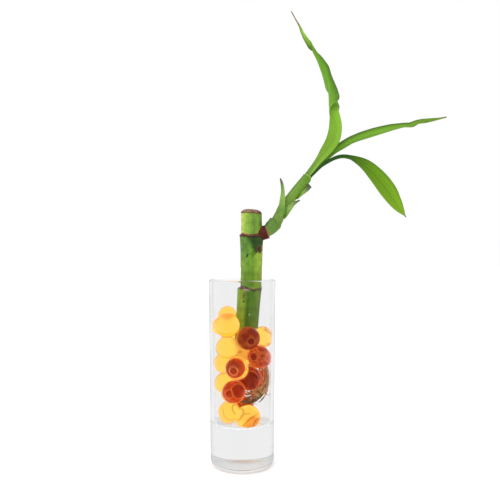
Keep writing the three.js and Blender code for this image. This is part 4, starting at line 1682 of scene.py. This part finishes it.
# Shoot


@dataclass
class SideShoot:
    """The side shoot's stem in its leaf sheaths, with dried tips and cut leaf bases on it.

    Each row of the path is x, y, z and the stem's radius.
    """

    path: Rows = (
        (9.8, 3.3, 130.0, 2.4), (11.6, 3.2, 130.4, 2.45), (13.2, 3.1, 130.8, 2.6),
        (14.2, 3, 131.4, 3.3), (16.4, 3, 133.4, 3.9), (18.8, 3, 136.0, 4.0), (19.7, 3, 137.2, 3.2),
        (21.3, 3, 140.4, 2.9), (23.4, 3, 144.8, 2.7), (26.7, 3, 149.0, 2.85), (30.6, 3, 153.8, 3.0),
        (34.2, 3, 158.3, 2.85), (36.6, 3, 161.4, 2.5), (38.0, 3, 163.3, 2.2),
    )
    rims: Pair = (0.615, 0.95)
    rim_step: float = 0.35
    rim_slant: float = 0.012
    flare: float = 0.06
    faces: tuple[int, int] = (64, 260)
    tips: tuple[Blade, ...] = (
        Blade(
            "long_sheath_tip",
            (
                (21.4, 1.6, 139.6, 2.0, 10, 0.5), (22.3, -0.2, 145.6, 1.8, 6, 0.4),
                (22.9, -0.4, 153.0, 1.1, 0, 0.4), (22.4, 0, 158.2, 0.8, 0, 0.4),
                (21.5, 0.5, 161.2, 0.35, 0, 0.1),
            ),
            wave=0.08, faces=(40, 90),
        ),
        Blade(
            "short_sheath_tip",
            (
                (23.4, 2.4, 139.2, 2.0, -30, 0.5), (26.4, 0.6, 143.2, 2.0, -35, 0.4),
                (29.4, 0.2, 146.7, 1.3, -35, 0.4), (32.7, 1, 148.9, 0.35, -30, 0.1),
            ),
            wave=0.08, faces=(40, 80),
        ),
        Blade(
            "cut_leaf_base",
            (
                (30.4, 2, 149.8, 1.6, -30, 0.6), (34.6, 1.5, 153.8, 2.5, -30, 0.5),
                (38.6, 1.5, 157.2, 1.6, -25, 0.3),
            ),
            wave=0.08, faces=(40, 60),
        ),
        Blade(
            "low_sheath_tip",
            (
                (15.6, 2.4, 133.4, 2.0, 0, 0.6), (15.9, 2.2, 136.2, 1.4, 0, 0.5),
                (16.3, 2.2, 138.9, 0.4, 0, 0.2),
            ),
            wave=0.05, faces=(40, 50),
        ),
    )

    def radius(self, along: Points, around: Points) -> Points:
        """The shoot's radius, widening to the edge of each sheath.

        Args:
            along: Shares along the shoot.
            around: Shares round it.
        Returns:
            The radius for each pair of shares.
        """
        radii = np.array([row[3] for row in self.path])
        stem = np.interp(along * (len(radii) - 1), np.arange(len(radii)), radii)
        slant = self.rim_slant * np.cos(2 * np.pi * around + 0.8)
        below = np.zeros_like(along)
        for rim in self.rims:
            gap = rim + slant - along
            below = np.where((gap >= 0) & (below == 0), np.exp(-gap / self.flare), below)
        return stem + self.rim_step * below

    def surface(self, around: Points, along: Points) -> Points:
        """The shoot's points.

        Args:
            around: Shares round the shoot.
            along: Shares along it.
        Returns:
            One row for each pair of shares.
        """
        middle, _, out, _ = Curve([row[:3] for row in self.path]).rings(around, along)
        radius = self.radius(along, around) + 0.06 * noise_at(middle + out * 3, 2.5, 3.0)
        return middle + out * (radius * rounded_ends(along, 0.012))[:, None]

    def values(self, around: Points, along: Points) -> dict[str, Points]:
        """Where each point is round the shoot and along it."""
        return {"across": np.cos(2 * np.pi * around), "along": along, "tip": np.zeros_like(along)}

    def build(self) -> Piece:
        """The stem and its tips, joined in one piece.

        Returns:
            The piece.
        """
        stem = laid_grid("side_shoot", self.faces, self.surface, self.values)
        tips = [tip.build() for tip in self.tips]
        select_only(stem, *tips)
        bpy.ops.object.join()
        return stem

    def dress(self, piece: Piece, effects: Effects) -> None:
        """Give the shoot its finish."""
        finished(piece, ShootFinish().build(effects), "shoot", "shoot")


@dataclass(frozen=True)
class ShootFinish:
    """Fresh green sheaths, streaked along, with pale flecks and grey-brown dried tips."""

    stem: Stops = shades(
        (0.2, 124, 127, 59), (0.27, 85, 122, 49), (0.4, 82, 114, 40), (0.47, 95, 122, 43),
        (0.56, 100, 135, 52), (0.64, 85, 117, 38), (0.72, 102, 135, 47), (0.85, 89, 129, 32),
        (0.95, 85, 127, 26), (0.97, 124, 152, 59),
    )
    dried: Stops = shades(
        (0.1, 92, 132, 50), (0.42, 126, 160, 74), (0.62, 112, 136, 68), (0.8, 82, 94, 58),
        (1.0, 64, 62, 44),
    )

    def build(self, effects: Effects) -> Material:
        """The shoot's material.

        Args:
            effects: The shared effects.
        Returns:
            The material.
        """
        material, tree, surface = new_finish("shoot_skin")
        place = tree.millimetres()
        across, along, tip = (tree.value(name) for name in ("across", "along", "tip"))
        streaks = effects.streaks(tree, across, along, 7.0, 1.2)
        stem = tree.shade(tree.ramp(along, self.stem), tree.range(across, -0.5, 0.9, (1.1, 0.8)))
        skin = tree.mix(tip, stem, tree.ramp(along, self.dried))
        skin = tree.shade(skin, tree.range(streaks, 0.3, 0.7, (0.9, 1.1)))
        skin = tree.tint(skin, linear(150, 176, 104), effects.flecks(tree, place, 1.9, 0.35), 0.2)
        relief = tree.times(tree.noise(place, 1.6, 3), 0.4, streaks)
        rough = tree.range(streaks, 0.3, 0.7, (0.36, 0.52))
        tree.cover(surface, skin, rough, 0.2, (relief, 0.06, 0.4))
        return material


@dataclass
class BudScale:
    """The dry scale that wraps the shoot's foot where it leaves the cane's joint."""

    path: Rows = ((9.3, 3.3, 129.7), (11.2, 3.2, 130.1), (14.6, 3, 131.1))
    start_radius: float = 4.0
    end_radius: float = 3.9
    lip: float = 0.25
    lip_at: float = 0.86
    faces: tuple[int, int] = (96, 90)

    def surface(self, around: Points, along: Points) -> Points:
        """The scale's points: out along it, then in over its lip.

        Args:
            around: Shares round the scale.
            along: Shares along it.
        Returns:
            One row for each pair of shares.
        """
        outward = np.clip(along / self.lip_at, 0, 1)
        inward = np.clip((along - self.lip_at) / (1 - self.lip_at), 0, 1)
        middle, forward, out, angle = Curve(self.path).rings(around, outward)
        radius = self.start_radius + (self.end_radius - self.start_radius) * outward
        wrinkles = 0.09 * np.sin(9 * angle + 2 * outward)
        wrinkles = wrinkles + 0.14 * noise_at(middle + out * 3, 1.1, 4.0)
        ragged = 0.35 * noise_at(out * 3, 1.2, 2.0) * outward**4
        full = np.sin(np.pi * np.clip(outward, 0.02, 1)) ** 0.5
        radius = (radius + wrinkles * full) * (1 - inward) * np.clip(along / 0.02, 0, 1)
        return middle + out * radius[:, None] + forward * (ragged - self.lip * inward)[:, None]

    def values(self, around: Points, along: Points) -> dict[str, Points]:
        """Where each point is round the scale and along it."""
        return {"across": np.cos(2 * np.pi * around), "along": along}

    def build(self) -> Piece:
        """The scale as one closed skin."""
        return laid_grid("dry_bud_scale", self.faces, self.surface, self.values)

    def dress(self, piece: Piece, effects: Effects) -> None:
        """Give the scale its dry red-brown finish.

        Args:
            piece: The scale.
            effects: The shared effects.
        """
        material, tree, surface = new_finish("dry_scale")
        place = tree.millimetres()
        across, along = tree.value("across"), tree.value("along")
        streaks = effects.streaks(tree, across, along, 8.0, 2.0)
        skin = tree.ramp(streaks, shades((0.3, 40, 10, 8), (0.5, 78, 24, 14), (0.7, 106, 46, 28)))
        blotch = tree.range(tree.noise(place, 0.5, 4), 0.45, 0.7)
        skin = tree.tint(skin, linear(58, 14, 16), blotch, 0.5)
        skin = tree.tint(skin, linear(150, 120, 66), tree.range(along, 0.76, 0.84), 0.7)
        relief = tree.times(tree.noise(place, 2.4, 4), 0.5, streaks)
        tree.cover(surface, skin, 0.62, 0.15, (relief, 0.12, 0.8))
        finished(piece, material, "bud_scale", "bud_scale")


# Roots


@dataclass(frozen=True)
class RootBundle:
    """Roots that take the same way: how many there are, and the points of their way."""

    strands: int
    way: Rows


@dataclass
class Roots:
    """The tuft of roots under the cane's foot, with fine hairs on it."""

    glass: Tumbler
    cane: Cane
    heap: BeadHeap
    crown_radius: float = 4.2
    crown_height: float = 2.0
    thick: float = 0.34
    thin: float = 0.25
    hair: float = 0.11
    hairs: int = 70
    hair_step: float = 0.6
    scatter: float = 2.3
    clearance: float = 0.25
    spacing: float = 0.85
    shortest: float = 0.75
    points: int = 44
    rooted: int = 3
    rounds: int = 110
    spaced_rounds: int = 98
    spaced_pull: float = 0.12
    last_pull: float = 0.35
    seed: int = 7
    bundles: tuple[RootBundle, ...] = (
        RootBundle(12, (
            (2.6, 7.0, 65), (4.6, 9.6, 58), (4.4, 6.5, 50.5), (8.5, 1.2, 43), (10, -1.5, 41),
            (9.5, -5, 38.4), (4.5, -5.5, 36.4), (-1.5, -3.5, 35.6),
        )),
        RootBundle(6, (
            (3, 7.2, 65), (8.8, 9.4, 61.5), (14.6, 5, 54), (15.2, 0.5, 47.5), (13.2, -3.8, 41),
            (8, -5, 37.6), (2, -4.4, 36.2), (-3, -2, 35.8), (-8, 1.5, 36),
        )),
        RootBundle(6, (
            (2.6, 7.2, 65), (6, 10.5, 57), (11, 8, 50), (12.6, 3, 45), (10.5, -1.5, 41.8),
            (5, -3, 40.6), (0, -2.5, 40),
        )),
        RootBundle(2, (
            (3.2, 7.4, 65), (9.6, 9.5, 60), (14.4, 4, 51), (14, -0.5, 44), (11, -4.6, 39.6),
            (6, -6, 37.6),
        )),
        RootBundle(4, (
            (2.8, 7.6, 65), (5.4, 13, 59), (11.6, 11, 51), (12, 9.4, 43), (7.6, 10.6, 37),
            (-1, 12.8, 35.6), (-9, 10, 37),
        )),
        RootBundle(3, ((1.4, 7.4, 65), (-3, 12.4, 60), (-9.6, 11.6, 54), (-13.6, 7, 48))),
        RootBundle(5, (
            (2.6, 7.2, 65), (6, 10.5, 57), (11, 8, 50), (12.6, 2, 44), (10.5, -2.5, 40.9),
            (5, -3.8, 39.4), (0, -3.2, 39.1),
        )),
    )

    def cleared(self, points: Points, beads: tuple[Points, Points], radius: float) -> Points:
        """Points moved off the beads and the cane and inside the glass.

        Args:
            points: Points in millimetres.
            beads: Centres and radii of the beads.
            radius: Radius of the root that they belong to.
        Returns:
            The points.
        """
        gap = radius + self.clearance
        for centre, bead_radius in zip(*beads):
            away = points - centre
            short = np.maximum(bead_radius + gap - np.linalg.norm(away, axis=1), 0)
            points = points + unit(away) * short[:, None]
        points = self.glass.kept_inside(points, gap)
        points[:, 2] = np.minimum(points[:, 2], self.cane.foot[2] - gap)
        return points

    def strand(
        self, way: Rows, beads: tuple, laid: Points, draw: np.random.Generator
    ) -> Points:
        """One root along a way, clear of the beads and of the roots already laid.

        Args:
            way: Points of the way that it takes.
            beads: Centres and radii of the beads.
            laid: Points of the roots already laid.
            draw: The stream of random numbers.
        Returns:
            Its points in millimetres.
        """
        rows = np.array(way, dtype=float)
        spread = np.linspace(0, 1, len(rows))[:, None]
        rows = rows + spread * self.scatter * draw.uniform(-1, 1, rows.shape)
        count = int(self.points * draw.uniform(self.shortest, 1))
        points = Curve(rows).at(np.linspace(0, 1, self.points))[:count]
        for step in range(self.rounds):
            spaced = step < self.spaced_rounds
            middle = (points[self.rooted - 1 : -2] + points[self.rooted + 1 :]) / 2
            share = self.spaced_pull if spaced else self.last_pull
            points[self.rooted : -1] += share * (middle - points[self.rooted : -1])
            if spaced and len(laid):
                far = points[2 * self.rooted :]
                gaps = far[:, None] - laid[None]
                lengths = np.linalg.norm(gaps, axis=2)
                nearest = np.arange(len(far)), lengths.argmin(axis=1)
                short = np.maximum(self.spacing - lengths[nearest], 0)
                far += unit(gaps[nearest]) * short[:, None]
            points[self.rooted :] = self.cleared(points[self.rooted :], beads, self.thick)
        return points

    def hair_from(self, start: Points, beads: tuple, draw: np.random.Generator) -> Points:
        """A fine hair that wanders off from a root.

        Args:
            start: The point of the root that it grows from.
            beads: Centres and radii of the beads.
            draw: The stream of random numbers.
        Returns:
            Its points in millimetres.
        """
        heading = unit(draw.normal(size=3) + np.array([0, 0, -0.5]))
        points = [start]
        for _ in range(int(draw.integers(6, 14))):
            heading = unit(heading + 0.35 * draw.normal(size=3))
            points.append(points[-1] + heading * self.hair_step)
        rows = np.array(points)
        rows[1:] = self.cleared(rows[1:], beads, self.hair)
        return rows

    def tubes(self, name: str, paths: Sequence[tuple[Points, float, float]]) -> Piece:
        """Tubes along paths, as one mesh.

        Args:
            name: Name of the piece.
            paths: Points of each tube with its radius at its start and at its end.
        Returns:
            The piece.
        """
        curve = bpy.data.curves.new(name, "CURVE")
        curve.dimensions = "3D"
        curve.bevel_depth = MM
        curve.bevel_resolution = 2
        curve.use_fill_caps = True
        for points, start, end in paths:
            spline = curve.splines.new("POLY")
            spline.points.add(len(points) - 1)
            rows = np.hstack([points * MM, np.ones((len(points), 1))])
            spline.points.foreach_set("co", rows.ravel())
            spline.points.foreach_set("radius", np.linspace(start, end, len(points)))
        piece = bpy.data.objects.new(name, curve)
        bpy.context.scene.collection.objects.link(piece)
        select_only(piece)
        bpy.ops.object.convert(target="MESH")
        piece = named(name)
        bpy.ops.object.shade_smooth()
        return piece

    def crown(self) -> Piece:
        """The small rough crown that the roots grow from.

        Returns:
            The piece.
        """
        top = self.cane.foot[2] - 0.3
        middle = self.cane.axis(np.array([top]))[0]
        deselect()
        bpy.ops.mesh.primitive_uv_sphere_add(segments=40, ring_count=20, radius=MM)
        piece = named("root_crown")
        balls = unit(points_of(piece))
        lumps = 1 + 0.14 * noise_at(balls, 0.35, 3.0)
        size = np.array([self.crown_radius, self.crown_radius, self.crown_height])
        points = balls * size * lumps[:, None]
        points[:, 2] = np.minimum(points[:, 2], 0)
        place_points(piece, (points + np.array([*middle, top])) * MM)
        with editing(piece):
            bpy.ops.mesh.remove_doubles(threshold=1e-7)
        return piece

    def build(self) -> Piece:
        """The crown, the roots and their hairs, joined in one piece.

        Returns:
            The piece.
        """
        draw = np.random.default_rng(self.seed)
        beads = tuple(np.array(parts) for parts in zip(*self.heap.homes().values()))
        laid = np.empty((0, 3))
        paths = []
        for way in (bundle.way for bundle in self.bundles for _ in range(bundle.strands)):
            points = self.strand(way, beads, laid, draw)
            laid = np.vstack([laid, points[2:]])
            shares = np.linspace(0, 1, 3 * len(points))
            paths.append((Curve(points).at(shares), self.thick, self.thin))
        for start in laid[draw.integers(0, len(laid), self.hairs)]:
            paths.append((self.hair_from(start, beads, draw), self.hair, self.hair * 0.5))
        roots = self.tubes("root_tuft", paths)
        select_only(roots, self.crown())
        bpy.ops.object.join()
        return roots

    def dress(self, piece: Piece, effects: Effects) -> None:
        """Give the roots their fibrous finish.

        Args:
            piece: The roots.
            effects: The shared effects.
        """
        material, tree, surface = new_finish("root_fibre")
        place = tree.millimetres()
        z = tree.split(place)[2]
        stops = shades(
            (0.3, 150, 108, 52), (0.42, 240, 190, 104), (0.52, 255, 228, 158), (0.62, 250, 150, 86)
        )
        skin = tree.ramp(tree.noise(place, 0.25, 4), stops)
        deep = tree.range(tree.times(tree.noise(place, 0.5, 3), 9.0, z), 45.0, 41.5)
        skin = tree.tint(skin, linear(84, 48, 30), deep, 0.8)
        skin = tree.tint(skin, linear(70, 44, 24), effects.flecks(tree, place, 2.4, 0.5), 0.5)
        tree.cover(surface, skin, 0.6, 0.2, (tree.noise(place, 3.0, 4), 0.1, 0.8))
        finished(piece, material, "root", "roots")


# Studio


@dataclass
class Studio:
    """A plain pale floor, plain soft light, and the camera at the photograph's angle.

    Each pair of levels goes from the lowest to the highest part of the sky, or from beside the
    main light to its middle.
    """

    camera_place: Spot = (4.4, -339.0, 120.6)
    lens: float = 43.2
    sensor: float = 36.0
    floor_radius: float = 4000.0
    key_from: Spot = (-0.55, -0.55, 0.63)
    sky_levels: Pair = (0.42, 1.1)
    key_levels: Pair = (0.0, 0.9)
    seen: float = 1.04
    mirrored: float = 0.65
    mirrored_key: Pair = (0.0, 6.0)

    def build_camera(self) -> None:
        """Add the camera, level and square to the front."""
        place = [value * MM for value in self.camera_place]
        bpy.ops.object.camera_add(location=place, rotation=(math.pi / 2, 0, 0))
        camera = bpy.context.object
        camera.name = "camera"
        camera.data.lens = self.lens
        camera.data.sensor_width = self.sensor
        camera.data.clip_start = 0.01
        bpy.context.scene.camera = camera

    def build_floor(self) -> None:
        """Add the floor, which is no part of the object."""
        deselect()
        radius = self.floor_radius * MM
        bpy.ops.mesh.primitive_circle_add(vertices=96, radius=radius, fill_type="NGON")
        floor = named("floor")
        material, tree, surface = new_finish("pale_floor")
        inputs = {
            "Base Color": (0.93, 0.93, 0.93, 1),
            "Emission Color": WHITE,
            "Emission Strength": 0.12,
            "Roughness": 0.9,
            "Specular IOR Level": 0.1,
        }
        tree.set(surface, inputs)
        floor.data.materials.append(material)
        floor.visible_glossy = floor.visible_transmission = False

    def build_light(self) -> None:
        """Light the scene from all round, brighter from the upper left and the front."""
        world = bpy.data.worlds.new("studio")
        world.use_nodes = True
        bpy.context.scene.world = world
        tree = Tree(world.node_tree)
        way = tree.add("TexCoord").outputs["Generated"]
        toward = tree.vector_math("DOT_PRODUCT", way, self.key_from).outputs["Value"]
        sky = tree.range(tree.split(way)[2], -1.0, 1.0, self.sky_levels)
        light = tree.math("ADD", sky, tree.range(toward, 0.2, 1.0, self.key_levels))
        shine = tree.range(toward, 0.9, 0.95, self.mirrored_key)
        mirrored = tree.math("ADD", self.mirrored, shine)
        levels = (self.seen, mirrored, light)
        seen, mirrored, light = (tree.vector(level, level, level) for level in levels)
        paths = tree.add("LightPath").outputs
        lit = tree.math("GREATER_THAN", paths["Diffuse Depth"], 0.5)
        sharp = tree.mix(paths["Is Reflection Ray"], seen, mirrored)
        strength = tree.mix(lit, sharp, light)
        colour = tree.mix(paths["Is Camera Ray"], strength, WHITE)
        tree.set(world.node_tree.nodes["Background"], {"Color": colour})

    def build(self) -> None:
        """Set up the whole studio."""
        self.build_camera()
        self.build_floor()
        self.build_light()
        view = bpy.context.scene.view_settings
        view.view_transform = "Standard"
        view.look = "None"


def main() -> None:
    """Build and dress each sub-assembly in order."""
    logging.basicConfig(level=logging.INFO, format="%(name)s: %(message)s")
    effects = Effects()
    glass = Tumbler()
    cane = Cane()
    heap = BeadHeap(glass)
    glass.dress(glass.build(), effects)
    heap.dress(heap.build(cane), effects)
    for part in (cane, Roots(glass, cane, heap), SideShoot(), BudScale(), Foliage()):
        part.dress(part.build(), effects)
    Studio().build()


if __name__ == "__main__":
    main()
